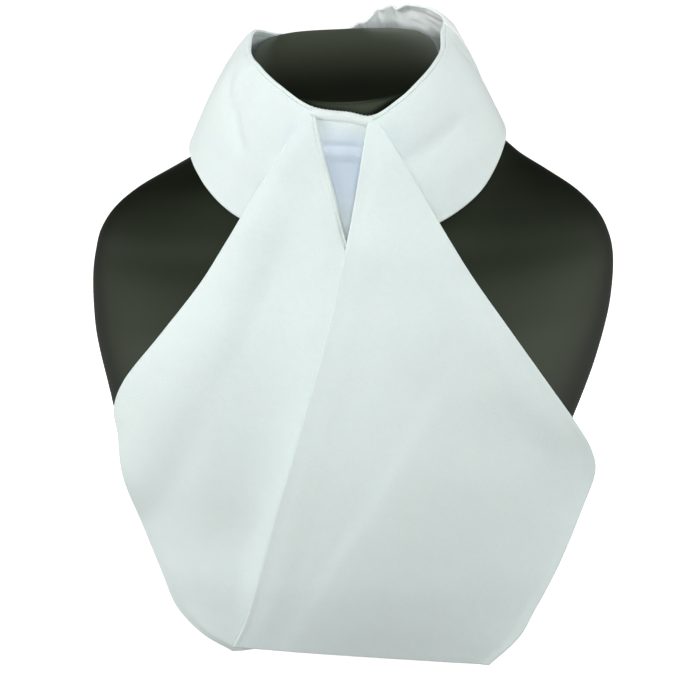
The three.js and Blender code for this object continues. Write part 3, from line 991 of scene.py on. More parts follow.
@dataclass
class NeckBust:
    """The plain bust: a smooth loft through its levels, with a flat foot and a tipped top."""

    sides: int = 96
    rings_per_level: int = 5
    dome: float = 4.0
    dome_rings: int = 12
    levels: tuple[Level, ...] = (
        Level(0, 56, 32, 66, 2.2, 2.4, 0, -9),
        Level(14, 61, 38, 69, 2.2, 2.4, 0, -9),
        Level(32, 71, 46, 72, 2.1, 2.3, 0, -9),
        Level(52, 86, 55, 75, 2.1, 2.3, 0, -9),
        Level(76, 104, 64, 78, 2.0, 2.2, 0, -9),
        Level(102, 121, 71, 81, 2.0, 2.2, 0, -8.8),
        Level(132, 133.5, 76, 83, 2.0, 2.2, 0, -7.9),
        Level(164, 142.8, 78, 84, 2.0, 2.2, 0, -4.6),
        Level(192, 149.2, 76, 84, 2.0, 2.2, 0, -2.7),
        Level(212, 151.4, 72, 83, 1.9, 2.1, 0, -1.4),
        Level(230, 151.4, 67, 81, 1.8, 2.1, 0, -0.6),
        Level(244, 148.6, 62, 79, 1.7, 2.0, 0, -0.8),
        Level(256, 143.6, 59, 77, 1.6, 2.0, 0, -2),
        Level(268, 133.7, 56, 74, 1.5, 1.9, 0, -3.5),
        Level(279, 119, 54.5, 71, 1.45, 1.8, 0.02, -4),
        Level(289, 101.5, 54.5, 68, 1.45, 1.8, 0.05, -1.7),
        Level(297, 88.6, 55, 66, 1.5, 1.9, 0.08, 1.7),
        Level(304, 76.6, 55.5, 64, 1.7, 2.1, 0.11, 2.6),
        Level(313, 65, 56, 61.5, 1.9, 2.5, 0.15, 1.8),
        Level(324, 56.5, 56, 59, 2.0, 3.0, 0.19, 0.6),
        Level(335, 53.5, 56, 57.5, 2.0, 3.4, 0.22, 0.2),
        Level(343, 53.4, 56, 56.5, 2.0, 3.7, 0.243, 0),
        Level(345.3, 52.6, 55.4, 55.7, 2.0, 3.7, 0.243, 0),
        Level(346, 50.8, 53.6, 53.8, 2.0, 3.7, 0.243, 0),
    )

    def level(self, index: float) -> Level:
        """Reads the level at a fractional index of the table."""
        places = range(len(self.levels))
        return Level(*(follow(places, column, index) for column in zip(*self.levels)))

    def ring(self, level: Level) -> list[Vector]:
        """Draws the section at one level.

        Args:
            level: the level's sizes.

        Returns:
            Its points, anticlockwise from above.
        """
        points = []
        for k in range(self.sides):
            turn = 2 * math.pi * k / self.sides
            across, along = math.cos(turn), math.sin(turn)
            square = level.front_square if along < 0 else level.back_square
            depth = level.front if along < 0 else level.back
            x = level.shift + level.half * math.copysign(abs(across) ** (2 / square), across)
            y = depth * math.copysign(abs(along) ** (2 / square), along)
            points.append(Vector((x, y, level.z + level.tip * y)))
        return points

    def build(self, plastic: MouldedPlastic) -> bpy.types.Object:
        """Builds and dresses the bust.

        Args:
            plastic: its finish.

        Returns:
            The bust.
        """
        steps = (len(self.levels) - 1) * self.rings_per_level
        points: list[Vector] = []
        for i in range(steps + 1):
            points += self.ring(self.level(i / self.rings_per_level))
        faces: list[tuple[int, ...]] = []
        for i in range(steps):
            for k in range(self.sides):
                low, high, following = i * self.sides, (i + 1) * self.sides, (k + 1) % self.sides
                faces.append((low + k, low + following, high + following, high + k))
        foot = len(faces)
        faces.append(tuple(reversed(range(self.sides))))
        rim = points[-self.sides :]
        middle = sum(rim, Vector()) / self.sides
        for i in range(1, self.dome_rings):
            share = i / self.dome_rings
            first = len(points) - self.sides
            raised = Vector((0, 0, self.dome * (1 - (1 - share) ** 3)))
            points += [p.lerp(middle, share) + raised for p in rim]
            for k in range(self.sides):
                following = (k + 1) % self.sides
                low, high = first, first + self.sides
                faces.append((low + k, low + following, high + following, high + k))
        points.append(middle + Vector((0, 0, self.dome)))
        first = len(points) - 1 - self.sides
        faces += [(first + k, first + (k + 1) % self.sides, len(points) - 1) for k in range(self.sides)]
        bust = make_object("bust", points, faces, plastic.material())
        bust.data.polygons[foot].use_smooth = False
        hand_over(bust, "neck_bust")
        return bust


@dataclass
class Collar:
    """The shaped band, from behind the left side round the front to the right back.

    Its folds are placed by millimetres round the neck and below its top edge. The cloth in the V gets
    painted shade, a lavender tint, painted_shade_width degrees to either side of painted_shade_angle.
    """

    wall: float = 2.0
    start: float = -172.0
    end: float = 112.0
    bow_skew: float = 0.7
    mm_per_deg: float = 1.3
    drop_mm: float = 70.0
    columns: int = 260
    rows: int = 74
    bead: Welt = Welt(0.3, 0.7, 0.15)
    seam_groove: Welt = Welt(1.35, 0.45, -0.32)
    hem_groove: Welt = Welt(3.4, 0.7, -0.06)
    crumple: Crumple = Crumple(0.3, 26.0, 3.0)
    strain: Crumple = Crumple(0.12, 9.0, 21.0)
    painted_shade_angle: float = -3.0
    painted_shade_width: float = 34.0
    stations: tuple[Station, ...] = (
        Station(-180, 65.0, 356.0, 79.0, 309.0, 2.0),
        Station(-150, 66.5, 356.0, 84.0, 308.5, 4.0),
        Station(-120, 60.0, 362.5, 92.0, 307.0, 4.5),
        Station(-100, 55.2, 357.5, 92.5, 302.5, 4.5),
        Station(-80, 54.4, 353.5, 89.0, 292.5, 4.5),
        Station(-60, 55.6, 349.0, 84.0, 276.5, 4.0),
        Station(-40, 58.5, 341.0, 78.0, 265.5, 4.0),
        Station(-19, 61.0, 330.0, 71.5, 260.0, 3.0),
        Station(0, 60.5, 326.5, 69.0, 259.0, 2.0),
        Station(12, 61.0, 324.0, 69.5, 259.0, 2.5),
        Station(28, 60.3, 332.0, 73.0, 261.0, 3.0),
        Station(45, 57.8, 341.0, 77.0, 267.5, 4.0),
        Station(65, 55.2, 348.5, 82.0, 279.5, 4.0),
        Station(85, 54.4, 352.5, 88.3, 298.8, 4.5),
        Station(105, 57.5, 359.5, 91.0, 308.0, 4.0),
        Station(122, 67.5, 366.0, 94.0, 309.5, 5.0),
        Station(145, 70.0, 371.0, 91.0, 310.0, 5.0),
        Station(163, 67.5, 367.0, 83.5, 310.0, 3.0),
    )
    dents: tuple[Dent, ...] = (
        Dent("left upright fold", -62, 0.5, 6, 0.38, -1.3),
        Dent("left swell", -48, 0.6, 9, 0.35, 1.0),
        Dent("right dent", 48, 0.5, 11, 0.16, -0.9),
        Dent("right swell", 40, 0.78, 12, 0.16, 0.9),
        Dent("front tuck", -2, 0.262, 10, 0.024, -1.1),
        Dent("front roll", 0, 0.322, 12, 0.036, 1.0),
        Dent("front corner", -14, 0.14, 4, 0.05, -0.7),
        Dent("front fullness", -3, 0.97, 8, 0.32, 6.5),
    )
    folds: tuple[Fold, ...] = (
        Fold("left slanting hollow", -104, 18, -72, 40, 9, -1.1, 0.5),
        Fold("left ridge", -92, 14, -84, 58, 8, 0.6),
        Fold("right lying hollow", 34, 32, 70, 35, 9, -1.0),
        Fold("right lying ridge", 44, 48, 90, 56, 9, 0.4),
        Fold("right back kink", 134, 16, 142, 40, 6, -1.4),
        Fold("front pull", -30, 40, -52, 58, 8, -0.7),
    )

    def point(self, angle: float, down: float, out: float = 0.0) -> Vector:
        """Finds a place in the collar's wall.

        Args:
            angle: degrees round the neck from the front, to the viewer's right.
            down: the share of the way from the top edge to the hem.
            out: the distance outside the middle of the wall.

        Returns:
            The place, in millimetres.
        """
        places = [s.angle for s in self.stations]
        columns = list(zip(*self.stations))
        top_r, top_z, hem_r, hem_z, bow = (follow(places, columns[i], angle, 360) for i in range(1, 6))
        run, drop = hem_r - top_r, top_z - hem_z
        length = math.hypot(run, drop)
        swell = out + bow * math.sin(math.pi * down**self.bow_skew)
        for dent in self.dents:
            across = (angle - dent.angle) / dent.across_deg
            along = (down - dent.down) / dent.down_share
            swell += dent.height * bell(math.hypot(across, along) / 2)
        radius = top_r + run * down + swell * drop / length
        turn = math.radians(angle)
        height = top_z - drop * down + swell * run / length
        return Vector((radius * math.sin(turn), -radius * math.cos(turn), height))

    def height_at(self, angle: float) -> float:
        """Gives the wall's length from top edge to hem at an angle."""
        return (self.point(angle, 0.0) - self.point(angle, 1.0)).length

    def relief(self, angle: float, down: float) -> float:
        """Adds the rolled top bead, the seam groove below it and a soft crumple.

        Args:
            angle: degrees round the neck.
            down: the share of the way down.

        Returns:
            How far out the cloth stands, in millimetres.
        """
        below = down * self.height_at(angle)
        above = (1 - down) * self.height_at(angle)
        edges = self.bead.rise(below) + self.seam_groove.rise(below) + self.hem_groove.rise(above)
        crumple = self.crumple.rise(angle * 1.2, below)
        strain = self.strain.rise(angle * 1.2 + below * 0.9, below * 0.25)
        drawn = sum(fold.rise(angle * self.mm_per_deg, below, 1.0, 0.6) for fold in self.folds)
        return edges + (crumple + strain) * smooth(below, 1.0, 9.0) + drawn

    def build(self, cloth: bpy.types.Material) -> bpy.types.Object:
        """Builds and dresses the collar.

        Args:
            cloth: its finish.

        Returns:
            The collar.
        """
        grid: list[list[Vector]] = []
        weave: list[list[tuple[float, float]]] = []
        tint: list[list[float]] = []
        for down in crowded(self.rows, 4.0, 2.0):
            row, threads, shades = [], [], []
            for share in spread(self.columns):
                angle = self.start + (self.end - self.start) * share
                row.append(self.point(angle, down, self.relief(angle, down)))
                threads.append((angle * self.mm_per_deg, -down * self.drop_mm))
                # Painted shade: the V's cloth gets the lavender tint, fading in below the top edge and
                # easing off towards the hem.
                depth = smooth(down, 0.02, 0.3) - 0.6 * smooth(down, 0.5, 0.9)
                shades.append(bell((angle - self.painted_shade_angle) / self.painted_shade_width) * depth)
            grid.append(row)
            weave.append(threads)
            tint.append(shades)
        collar = ClothWall("collar_band", self.wall).build(grid, weave, cloth, tint)
        hand_over(collar, "collar")
        return collar


@dataclass
class GatheredBack:
    """The stretch of collar that elastic draws up into upright ruffles.

    Its drags are placed by the percentage of the way round it and millimetres below its top edge.
    """

    collar: Collar
    wall: float = 1.8
    gap_mm: float = 2.1
    count: int = 9
    depth: float = 2.6
    middle: float = 0.45
    lean: float = 0.9
    lift: float = 1.4
    uneven: float = 0.25
    end_fade: float = 7.0
    calm: float = 0.88
    round_mm: float = 190.0
    crumple: Crumple = Crumple(0.4, 8.0, 5.0)
    elastic_rows: int = 10
    elastic_depth: float = 0.25
    columns: int = 190
    rows: int = 60
    drags: tuple[Fold, ...] = (
        Fold("first drag", 56, 2, 30, 16, 4, -1.5, 0.5),
        Fold("second drag", 46, 4, 18, 13, 3.5, -1.3, 0.5),
        Fold("third drag", 30, 1, 14, 10, 3, -1.2, 0.5),
        Fold("first pad", 64, 8, 40, 20, 5, 1.3),
        Fold("second pad", 44, 10, 24, 20, 4, 1.0),
    )

    def seam(self, angle: float, down: float) -> float:
        """Measures the seam beside one of the collar's ends.

        Args:
            angle: the collar's end, in degrees.
            down: the share of the way from the top edge to the hem.

        Returns:
            The seam's width, in degrees round the neck.
        """
        spot = self.collar.point(angle, down)
        return math.degrees(self.gap_mm / math.hypot(spot.x, spot.y))

    def ruffle(self, share: float, down: float) -> tuple[float, float]:
        """Shapes one place of the ruffles.

        Args:
            share: the share of the way round the stretch.
            down: the share of the way from the top edge to the hem.

        Returns:
            How far out and how far up the cloth stands, in millimetres.
        """
        ends = min(1.0, share * self.end_fade, (1 - share) * self.end_fade)
        edges = self.middle + (1 - self.middle) * abs(2 * down - 1) ** 1.5
        turn = 2 * math.pi * (share * self.count + self.lean * down * (1 - share))
        size = 1 - self.uneven * (1 - math.sin(turn * 0.37 + 1))
        inside = smooth(down, 0.0, 0.12) * smooth(1 - down, 0.0, 0.12)
        pinch = self.crumple.rise(share * 90 + down * 16, down * 14) * inside
        rows = self.elastic_depth * (math.sin(down * math.pi * self.elastic_rows) ** 8) * inside
        calm = 1 - self.calm * smooth(0.6 - share, 0.0, 0.2) * smooth(0.45 - down, 0.0, 0.3)
        out = self.depth * edges * size * math.sin(turn) * calm + pinch - rows
        place = (share * 100, down * self.collar.drop_mm)
        out -= sum(fold.rise(*place, 1.0, 0.5) for fold in self.drags)
        up = self.lift * (1 - 2 * down) * math.cos(turn * 0.5 + 0.6) * calm
        return out * ends, up * ends

    def build(self, cloth: bpy.types.Material) -> bpy.types.Object:
        """Builds and dresses the gathered stretch.

        Args:
            cloth: its finish.

        Returns:
            The gathered stretch.
        """
        grid: list[list[Vector]] = []
        weave: list[list[tuple[float, float]]] = []
        for down in crowded(self.rows, 2.0, 2.0):
            start = self.collar.end + self.seam(self.collar.end, down)
            end = self.collar.start + 360 - self.seam(self.collar.start, down)
            row, threads = [], []
            for share in spread(self.columns):
                out, up = self.ruffle(share, down)
                place = self.collar.point(start + (end - start) * share, down, out)
                row.append(place + Vector((0, 0, up)))
                threads.append((share * self.round_mm, -down * self.collar.drop_mm))
            grid.append(row)
            weave.append(threads)
        gathers = ClothWall("gathers", self.wall).build(grid, weave, cloth)
        hand_over(gathers, "gathered_back")
        return gathers


@dataclass
class FasteningTab:
    """The plain hook-and-loop tab over the place where the two ends meet."""

    collar: Collar
    wall: float = 1.6
    start: float = 170.0
    end: float = 206.0
    top: float = 0.2
    hem: float = 0.86
    out_on_ruffles: float = 3.7
    out_on_collar: float = 2.2
    seam_deg: float = 1.95
    size: tuple[float, float] = (50.0, 40.0)
    crumple: Crumple = Crumple(0.15, 14.0, 8.0)
    columns: int = 60
    rows: int = 44
    inset: float = 0.07
    dots: int = 12

    def place(self, share: float, down: float, above: float = 0.0) -> Vector:
        """Finds a place on the tab, which steps down from the ruffles to the collar.

        Args:
            share: the share of the tab's length.
            down: the share of its height, from the top.
            above: the distance outside the middle of its wall.

        Returns:
            The place, in millimetres.
        """
        angle = self.start + (self.end - self.start) * share
        step = smooth(angle, self.start, self.collar.start + 360 + self.seam_deg)
        out = self.out_on_ruffles + (self.out_on_collar - self.out_on_ruffles) * step
        out = out + above + self.crumple.rise(share * 45, down * 45)
        return self.collar.point(angle, self.top + (self.hem - self.top) * down, out)

    def build(self, tape: NappedTape, stitches: bpy.types.GeometryNodeTree) -> bpy.types.Object:
        """Builds, sews and dresses the tab.

        Args:
            tape: its finish.
            stitches: the stitch_row node group.

        Returns:
            The tab.
        """
        grid = [[self.place(u, v) for u in spread(self.columns)] for v in crowded(self.rows, 2, 2)]
        wide, tall = self.size
        weave = [[(u * wide, -v * tall) for u in spread(self.columns)] for v in spread(self.rows)]
        edges = {edge: EdgeShape.PRESSED for edge in Edge}
        tab = ClothWall("tab", self.wall, edges).build(grid, weave, tape.material())
        hand_over(tab, "fastening_tab")
        near, far = self.inset, 1 - self.inset
        corners = ((near, near), (near, far), (far, far), (far, near), (near, near))
        box = [
            self.place(a + (c - a) * t / self.dots, b + (d - b) * t / self.dots, self.wall / 2 + 0.05)
            for (a, b), (c, d) in zip(corners, corners[1:])
            for t in range(self.dots)
        ]
        row = StitchRow("tab_stitches", pitch=2.8, length=2.2, thickness=0.45, seed=4)
        hand_over(row.sew(box, stitches))
        return tab


@dataclass
class FrontBand:
    """The folded strip along the collar's top front, whipped down along its top edge."""

    collar: Collar
    start: float = -18.5
    end: float = 12.0
    height: float = 5.6
    laid: float = 0.7
    gap: float = 0.1
    rise: float = 0.8
    thinning: float = 0.8
    length_mm: float = 34.0
    girth_mm: float = 1.4
    unevenness: Crumple = Crumple(0.05, 2.6, 2.0)
    steps: int = 90
    sides: int = 20

    def spot(self, share: float, across: float, upright: float) -> Vector:
        """Finds a place on the strip, which lies along the collar's wall.

        Args:
            share: the share of the strip's length.
            across: from -1 on the wall's side to 1 on the outside.
            upright: from -1 at the strip's lower edge to 1 at its upper edge.

        Returns:
            The place, in millimetres.
        """
        angle = self.start + (self.end - self.start) * share
        level = self.height * (1 - upright) / 2 - self.rise
        thin = 1 - self.thinning * (1 - smooth(upright, -1.0, -0.4))
        out = self.collar.wall / 2 + self.gap + self.laid / 2 * (1 + across) * thin
        place = self.collar.point(angle, max(level, 0.0) / self.collar.height_at(angle), out)
        return place - Vector((0, 0, min(level, 0.0)))

    def build(self, cloth: bpy.types.Material, stitches: bpy.types.GeometryNodeTree) -> bpy.types.Object:
        """Builds, sews and dresses the strip.

        Args:
            cloth: its finish.
            stitches: the stitch_row node group.

        Returns:
            The strip.
        """
        points: list[Vector] = []
        threads: list[tuple[float, float]] = []
        for share in spread(self.steps):
            uneven = 1 + self.unevenness.rise(share * self.length_mm, 0)
            for k in range(self.sides):
                turn = 2 * math.pi * k / self.sides
                across = math.copysign(abs(math.cos(turn)) ** 0.4, math.cos(turn))
                upright = math.sin(turn)
                points.append(self.spot(share, across, upright * uneven if upright > 0 else upright))
                threads.append((share * self.length_mm, turn * self.girth_mm))
        faces: list[tuple[int, ...]] = []
        for i in range(self.steps - 1):
            for k in range(self.sides):
                here, ahead, following = i * self.sides, (i + 1) * self.sides, (k + 1) % self.sides
                faces.append((here + k, ahead + k, ahead + following, here + following))
        faces.append(tuple(range(self.sides)))
        last = (self.steps - 1) * self.sides
        faces.append(tuple(last + k for k in reversed(range(self.sides))))
        band = make_object("strip", points, faces, cloth, threads)
        hand_over(band, "front_band")
        crest = [self.spot(s, 0.6, 0.97) for s in spread(60)]
        row = StitchRow(
            "strip_stitches",
            pitch=2.1,
            length=1.9,
            thickness=0.5,
            lean_deg=62.0,
            across=(0.15, 0.25, 0.95),
            seed=11,
        )
        hand_over(row.sew(crest, stitches))
        return band


@dataclass
class Drape:
    """How far in front of the neck's middle the wings hang at each height."""

    profile: tuple[Hang, ...] = (
        Hang(0, 73.0, 0.001),
        Hang(20, 78.5, 0.0013),
        Hang(40, 84.0, 0.0018),
        Hang(65, 89.0, 0.0022),
        Hang(95, 92.5, 0.0025),
        Hang(125, 94.0, 0.0025),
        Hang(155, 93.5, 0.0025),
        Hang(185, 91.5, 0.0026),
        Hang(210, 88.5, 0.0029),
        Hang(235, 84.0, 0.0036),
        Hang(260, 80.0, 0.0045),
        Hang(285, 76.4, 0.0054),
        Hang(308, 72.4, 0.0064),
        Hang(330, 66.6, 0.0082),
    )
    fold_spread: float = 1.6
    end_stretch: float = 0.6

    def depth(self, x: float, z: float, folds: Sequence[Fold]) -> float:
        """Finds how far forward the cloth lies at a place seen from the front.

        Args:
            x: the place across.
            z: its height.
            folds: the wing's folds.

        Returns:
            The cloth's Y, in millimetres.
        """
        heights, reaches, curves = zip(*self.profile)
        y = -follow(heights, reaches, z) + follow(heights, curves, z) * x * x
        return y - sum(fold.rise(x, z, self.fold_spread, self.end_stretch) for fold in folds)


@dataclass
class Wing:
    """One doubled wing, from its point at the collar to its end."""

    side: Side
    sections: tuple[Section, ...]
    folds: tuple[Fold, ...]
    cover: Optional["Wing"] = None
    drape: Drape = field(default_factory=Drape)
    wall: float = 1.7
    columns: int = 96
    rows: int = 190
    end_hollow: float = 2.4
    end_fade: int = 10
    tuck_depth: float = 1.2
    tuck_width: float = 26.0
    edge_width: float = 9.0
    rolled_bead: Welt = Welt(0.3, 1.4, 0.3)
    rolled_hollow: Welt = Welt(5.0, 3.0, -0.25)
    lip_groove: Welt = Welt(1.4, 0.35, -0.5)
    lip_drop: float = 0.7
    outer_curl: float = -1.3
    seed: float = 31.0
    hem_fold: Fold = Fold("hem", -200, 72, 200, 45, 22, 0.5, 0.25)

    def corner(self, down: float) -> Section:
        """Reads a section of the wing.

        Args:
            down: the share of the wing's length.

        Returns:
            The section there.
        """
        places = range(len(self.sections))
        at = down * (len(self.sections) - 1)
        return Section(*(follow(places, column, at) for column in zip(*self.sections)))

    def sunk(self, x: float, z: float) -> float:
        """Tells how far a place lies behind the wing that covers it.

        Args:
            x: the place across.
            z: its height.

        Returns:
            The distance back, in millimetres.
        """
        if self.cover is None:
            return 0.0
        rising = self.cover.sections[::-1]
        edge = follow([s.inner_z for s in rising], [s.inner_x for s in rising], z)
        return self.tuck_depth * smooth(x, edge, edge + self.tuck_width)

    def relief(self, x: float, z: float, inside: float, outside: float) -> float:
        """Adds the rolled edges and a soft crumple.

        Args:
            x: the place across.
            z: its height.
            inside: the distance from the inner edge.
            outside: the distance from the outer edge.

        Returns:
            How far forward the cloth stands, in millimetres.
        """
        if self.side is Side.RIGHT:
            roll = self.rolled_bead.rise(inside) + self.rolled_hollow.rise(inside)
        else:
            lip = -self.lip_drop * (1 - smooth(inside, 1.4, 2.1))
            roll = lip + self.lip_groove.rise(inside)
        curl = self.outer_curl * (1 - smooth(outside, 0.0, self.edge_width)) ** 2
        crease = self.hem_fold.rise(x, z, 1.0, 1.0)
        crumple = Crumple(0.35, 34.0, self.seed).rise(x * 0.8 + z * 0.3, z * 0.45)
        fine = Crumple(0.06, 9.0, self.seed + 5).rise(x, z)
        soft = (crumple + fine) * smooth(min(inside, outside), 0.0, 14.0)
        return roll + curl + crease + soft

    def build(self, cloth: bpy.types.Material) -> bpy.types.Object:
        """Builds and dresses the wing.

        Args:
            cloth: its finish.

        Returns:
            The wing.
        """
        shares = crowded(self.columns, 4.0, 2.0)
        grid: list[list[Vector]] = []
        weave: list[list[tuple[float, float]]] = []
        for down in crowded(self.rows, 0.0, 1.5):
            at = self.corner(down)
            width = math.hypot(at.outer_x - at.inner_x, at.outer_z - at.inner_z)
            hollow = self.end_hollow * down**self.end_fade
            row, threads = [], []
            for share in shares:
                x = at.inner_x + (at.outer_x - at.inner_x) * share
                z = at.inner_z + (at.outer_z - at.inner_z) * share + hollow * 4 * share * (1 - share)
                proud = self.relief(x, z, share * width, (1 - share) * width)
                y = self.drape.depth(x, z, self.folds) - at.lift + self.sunk(x, z) - proud
                row.append(Vector((x, y, z)))
                threads.append((x, z))
            if self.side is Side.LEFT:
                row.reverse()
                threads.reverse()
            grid.append(row)
            weave.append(threads)
        edges = {Edge.LAST_COLUMN: EdgeShape.TWO_PLY} if self.side is Side.LEFT else {}
        name = "wing_" + self.side.value
        wing = ClothWall(name + "_cloth", self.wall, edges).build(grid, weave, cloth)
        hand_over(wing, name)
        return wing


RIGHT_SECTIONS = (
    Section(10.6, 321.5, 15.0, 322.5, -2.8),
    Section(7.2, 306.0, 25.0, 306.0, -1.4),
    Section(2.0, 281.0, 38.2, 281.5, -0.2),
    Section(-3.8, 257.0, 51.5, 257.0, 2.9),
    Section(-10.2, 233.0, 65.0, 233.5, 3.0),
    Section(-18.2, 204.5, 83.5, 205.0, 3.0),
    Section(-28.0, 173.5, 103.0, 174.5, 3.0),
    Section(-37.6, 144.0, 122.0, 144.0, 3.0),
    Section(-43.0, 127.5, 130.6, 126.5, 3.0),
    Section(-48.4, 111.0, 132.2, 111.5, 3.0),
    Section(-54.6, 89.5, 122.6, 89.5, 3.0),
    Section(-62.8, 62.0, 109.0, 62.0, 3.0),
    Section(-69.5, 41.5, 94.5, 37.5, 3.0),
    Section(-74.0, 31.5, 85.0, 22.0, 3.0),
    Section(-77.5, 24.5, 68.0, 6.6, 3.0),
)
RIGHT_FOLDS = (
    Fold("long diagonal ridge", -8, 86, 28, 145, 34, 0.8, 0.25, 0.2),
    Fold("upper swell", 22, 276, 34, 226, 22, 2.2),
    Fold("side hollow", 78, 142, 116, 118, 20, -1.4),
    Fold("outer roll", 50, 240, 108, 150, 12, 1.6),
    Fold("swell below", -2, 250, -64, 48, 13, 1.3),
)
RIGHT_HEM = Fold("right hem", -200, 72, 200, 45, 22, 0.2, 0.25)
LEFT_SECTIONS = (
    Section(-18.4, 325.0, -22.5, 327.0, 0.0),
    Section(-15.2, 306.0, -37.0, 306.5, 0.0),
    Section(-9.3, 281.0, -54.5, 281.5, 0.0),
    Section(-3.6, 257.0, -70.0, 257.5, 0.0),
    Section(3.0, 234.0, -86.0, 234.0, 0.0),
    Section(11.0, 205.5, -109.5, 205.5, 0.0),
    Section(20.0, 178.0, -132.0, 178.0, 0.0),
    Section(25.5, 160.0, -140.0, 159.5, 0.0),
    Section(30.5, 144.5, -138.4, 145.0, 0.0),
    Section(38.0, 121.0, -137.0, 122.5, 0.0),
    Section(46.5, 94.0, -128.2, 95.0, 0.0),
    Section(55.0, 67.0, -117.4, 66.0, 0.0),
    Section(61.0, 49.0, -109.8, 45.5, 0.0),
    Section(65.0, 39.0, -96.0, 30.0, 0.0),
    Section(66.5, 35.0, -79.0, 19.8, 0.0),
)
LEFT_FOLDS = (
    Fold("outer roll", -60, 262, -131, 124, 16, 4.0),
    Fold("long hollow", -28, 284, -68, 100, 20, -3.8, 1.0, 0.7),
    Fold("inner swell", -2, 250, -64, 48, 8, 2.0),
    Fold("lower crease", -96, 128, -68, 66, 16, -0.3),
    Fold("outer lobe", -136, 128, -122, 100, 12, 0.7),
)


class Softbox(NamedTuple):
    """One square light: where it hangs and its side in metres, its watts and its colour.

    Gloss shows only a mirrored one.
    """

    name: str
    place: tuple[float, float, float]
    size: float
    power: float
    colour: str
    mirrored: bool = False


SOFTBOXES = (
    Softbox("left", (-1.7, -0.7, 0.6), 1.0, 19.0, "#ffffff"),
    Softbox("right", (1.7, -0.7, 0.6), 1.0, 14.3, "#ffffff"),
    Softbox("front", (0.0, -2.0, 0.7), 1.2, 15.9, "#fbfdff"),
    Softbox("top front", (0.0, -0.8, 1.8), 1.0, 9.0, "#ffffff", True),
    Softbox("top", (0.0, 0.4, 1.8), 1.0, 2.6, "#ffffff"),
    Softbox("back left", (-1.3, 0.9, 0.8), 0.9, 3.4, "#ffffff"),
)


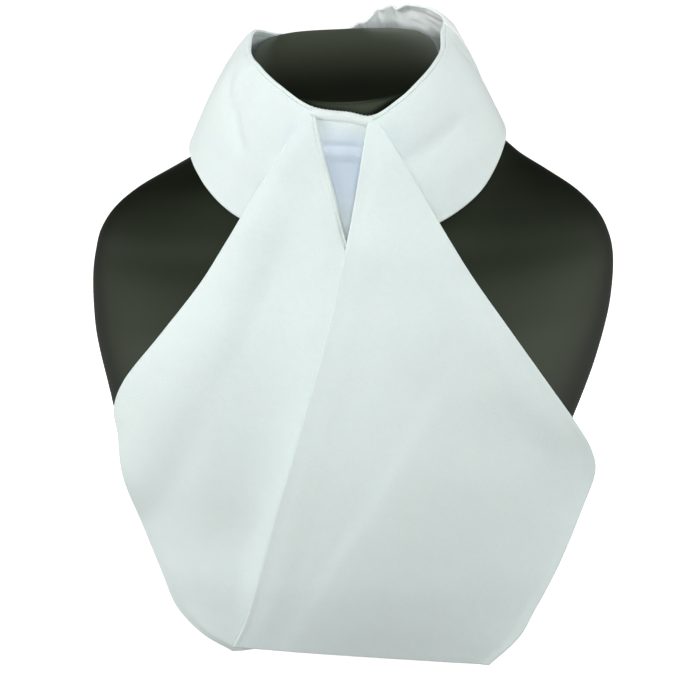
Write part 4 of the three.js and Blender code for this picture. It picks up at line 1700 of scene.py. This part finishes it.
@dataclass
class Studio:
    """The pale floor, the soft lights and the camera at the photograph's angle.

    The room lights the cloth, and the mirrored room is what glossy surfaces reflect. The lights'
    aim and the floor's radius are in metres.
    """

    target: tuple[float, float, float] = (-4.41, 0.0, 177.3)
    distance: float = 1300.0
    elevation_deg: float = 15.0
    roll_deg: float = 2.3
    lens_mm: float = 113.66
    aim: tuple[float, float, float] = (0.0, 0.0, 0.2)
    floor_radius: float = 30.0
    floor_sides: int = 64
    mirrored: Glow = (
        (-1.0, 0.25),
        (-0.6, 0.8),
        (-0.25, 1.0),
        (0.12, 0.8),
        (0.35, 0.35),
        (0.7, 0.03),
        (1.0, 0.02),
    )
    mirrored_strength: float = 2.35
    mirrored_behind: float = 0.1
    room: Glow = (
        (-0.08, 0.0),
        (0.02, 0.46),
        (0.28, 0.46),
        (0.42, 0.0),
        (0.62, 0.0),
        (0.78, 0.2),
    )

    def camera(self) -> None:
        """Places the camera in front of the bust, a little above it."""
        lift, roll = math.radians(self.elevation_deg), math.radians(self.roll_deg)
        back = Vector((0, -math.cos(lift), math.sin(lift)))
        up = Vector((0, math.sin(lift), math.cos(lift)))
        right = Vector((1, 0, 0))
        across = right * math.cos(roll) - up * math.sin(roll)
        upright = up * math.cos(roll) + right * math.sin(roll)
        data = bpy.data.cameras.new("camera")
        data.lens = self.lens_mm
        data.sensor_width = 36.0
        data.clip_end = 100.0
        camera = bpy.data.objects.new("camera", data)
        bpy.context.scene.collection.objects.link(camera)
        turned = Matrix((across, upright, back)).transposed().to_4x4()
        place = (Vector(self.target) + back * self.distance) * METRE
        camera.matrix_world = Matrix.Translation(place) @ turned
        bpy.context.scene.camera = camera

    def hang(self, box: Softbox) -> None:
        """Hangs one square softbox that faces the tie.

        Args:
            box: the softbox.
        """
        data = bpy.data.lights.new(box.name, "AREA")
        data.shape = "SQUARE"
        data.size = box.size
        data.energy = box.power
        data.color = linear(box.colour)[:3]
        light = bpy.data.objects.new(box.name, data)
        bpy.context.scene.collection.objects.link(light)
        light.location = box.place
        light.visible_glossy = box.mirrored
        way = Vector(self.aim) - Vector(box.place)
        light.rotation_euler = way.to_track_quat("-Z", "Y").to_euler()

    def floor(self) -> None:
        """Lays the pale floor, which glows a little so that it stays even."""
        made, tree = new_material("white_paper")
        place = add_node(tree, "ShaderNodeTexCoord").outputs["Object"]
        fibre = fractal(tree, place, 300.0, 2.0).outputs["Fac"]
        finish_surface(
            tree,
            {
                "Base Color": blend(tree, fibre, linear("#f4f5f5"), linear("#fafbfb")),
                "Roughness": 0.9,
                "Emission Color": linear("#ffffff"),
                "Emission Strength": 0.9,
            },
        )
        reach = Vector((self.floor_radius / METRE, 0, 0))
        turns = [2 * math.pi * k / self.floor_sides for k in range(self.floor_sides)]
        ring = [Matrix.Rotation(turn, 3, "Z") @ reach for turn in turns]
        floor = make_object("floor", ring, [tuple(range(self.floor_sides))], made)
        floor.visible_diffuse = False
        floor.visible_glossy = False

    def glow(
        self, tree: bpy.types.NodeTree, heights: Glow, strength: float = 1.0, behind: float = 1.0
    ) -> bpy.types.NodeSocket:
        """Makes a room whose brightness depends on where one looks.

        Args:
            tree: the world's node tree.
            heights: pairs of a height, from -1 straight down to 1 straight up, and a share of the
                brightness, up to 1.
            strength: the brightness in front of the bust.
            behind: how bright it is behind the bust, beside in front.

        Returns:
            The room's light.
        """
        way = add_node(tree, "ShaderNodeTexCoord").outputs["Generated"]
        look = add_node(tree, "ShaderNodeSeparateXYZ", inputs={"Vector": way}).outputs
        share = rescale(tree, look["Z"], (-1.0, 1.0))
        fade = rescale(tree, look["Y"], (-0.5, 0.6), (strength, behind * strength), soft=True)
        ramp = add_node(tree, "ShaderNodeValToRGB", inputs={"Fac": share})
        ramp.color_ramp.interpolation = "B_SPLINE"
        stops = ramp.color_ramp.elements
        for _ in range(len(heights) - len(stops)):
            stops.new(0.5)
        for stop, (height, bright) in zip(stops, heights):
            stop.position = (height + 1) / 2
            stop.color = (bright, bright, bright, 1.0)
        light = {"Color": ramp.outputs["Color"], "Strength": fade}
        return add_node(tree, "ShaderNodeBackground", inputs=light).outputs[0]

    def world(self) -> None:
        """Fills the room with soft light: a bright cove all round, and white behind the floor."""
        scene = bpy.context.scene
        scene.world = bpy.data.worlds.new("room")
        scene.world.use_nodes = True
        tree = scene.world.node_tree
        tree.nodes.clear()
        rays = add_node(tree, "ShaderNodeLightPath").outputs
        room = self.glow(tree, self.room)
        mirror = self.glow(tree, self.mirrored, self.mirrored_strength, self.mirrored_behind)
        white = add_node(tree, "ShaderNodeBackground", inputs={"Color": linear("#ffffff")}).outputs[0]
        choice = {0: rays["Is Glossy Ray"], 1: room, 2: mirror}
        lit = add_node(tree, "ShaderNodeMixShader", inputs=choice).outputs[0]
        choice = {0: rays["Is Camera Ray"], 1: lit, 2: white}
        seen = add_node(tree, "ShaderNodeMixShader", inputs=choice).outputs[0]
        add_node(tree, "ShaderNodeOutputWorld", inputs={"Surface": seen})
        scene.view_settings.view_transform = "Standard"
        scene.view_settings.look = "None"

    def build(self) -> None:
        """Sets up the floor, the lights, the room and the camera."""
        self.camera()
        self.floor()
        self.world()
        for box in SOFTBOXES:
            self.hang(box)


def report(made: bpy.types.Object) -> None:
    """Logs a piece's name and how many faces it has."""
    log.info("%s: %d faces", made.name, len(made.data.polygons))


def main() -> None:
    """Builds every piece in order and reports it."""
    logging.basicConfig(level=logging.INFO, format="%(name)s: %(message)s")
    Studio().build()
    cloth = CottonTwill().material()
    stitches = stitch_tree(SewingThread().material())
    collar = Collar()
    right = Wing(
        Side.RIGHT, RIGHT_SECTIONS, RIGHT_FOLDS, outer_curl=0.8, seed=47.0, hem_fold=RIGHT_HEM
    )
    left = Wing(Side.LEFT, LEFT_SECTIONS, LEFT_FOLDS, cover=right)
    report(NeckBust().build(MouldedPlastic()))
    report(collar.build(cloth))
    report(GatheredBack(collar).build(PAINTED_LIGHT_TWILL.material()))
    report(FasteningTab(collar).build(NappedTape(), stitches))
    report(FrontBand(collar).build(cloth, stitches))
    report(left.build(cloth))
    report(right.build(cloth))


if __name__ == "__main__":
    main()
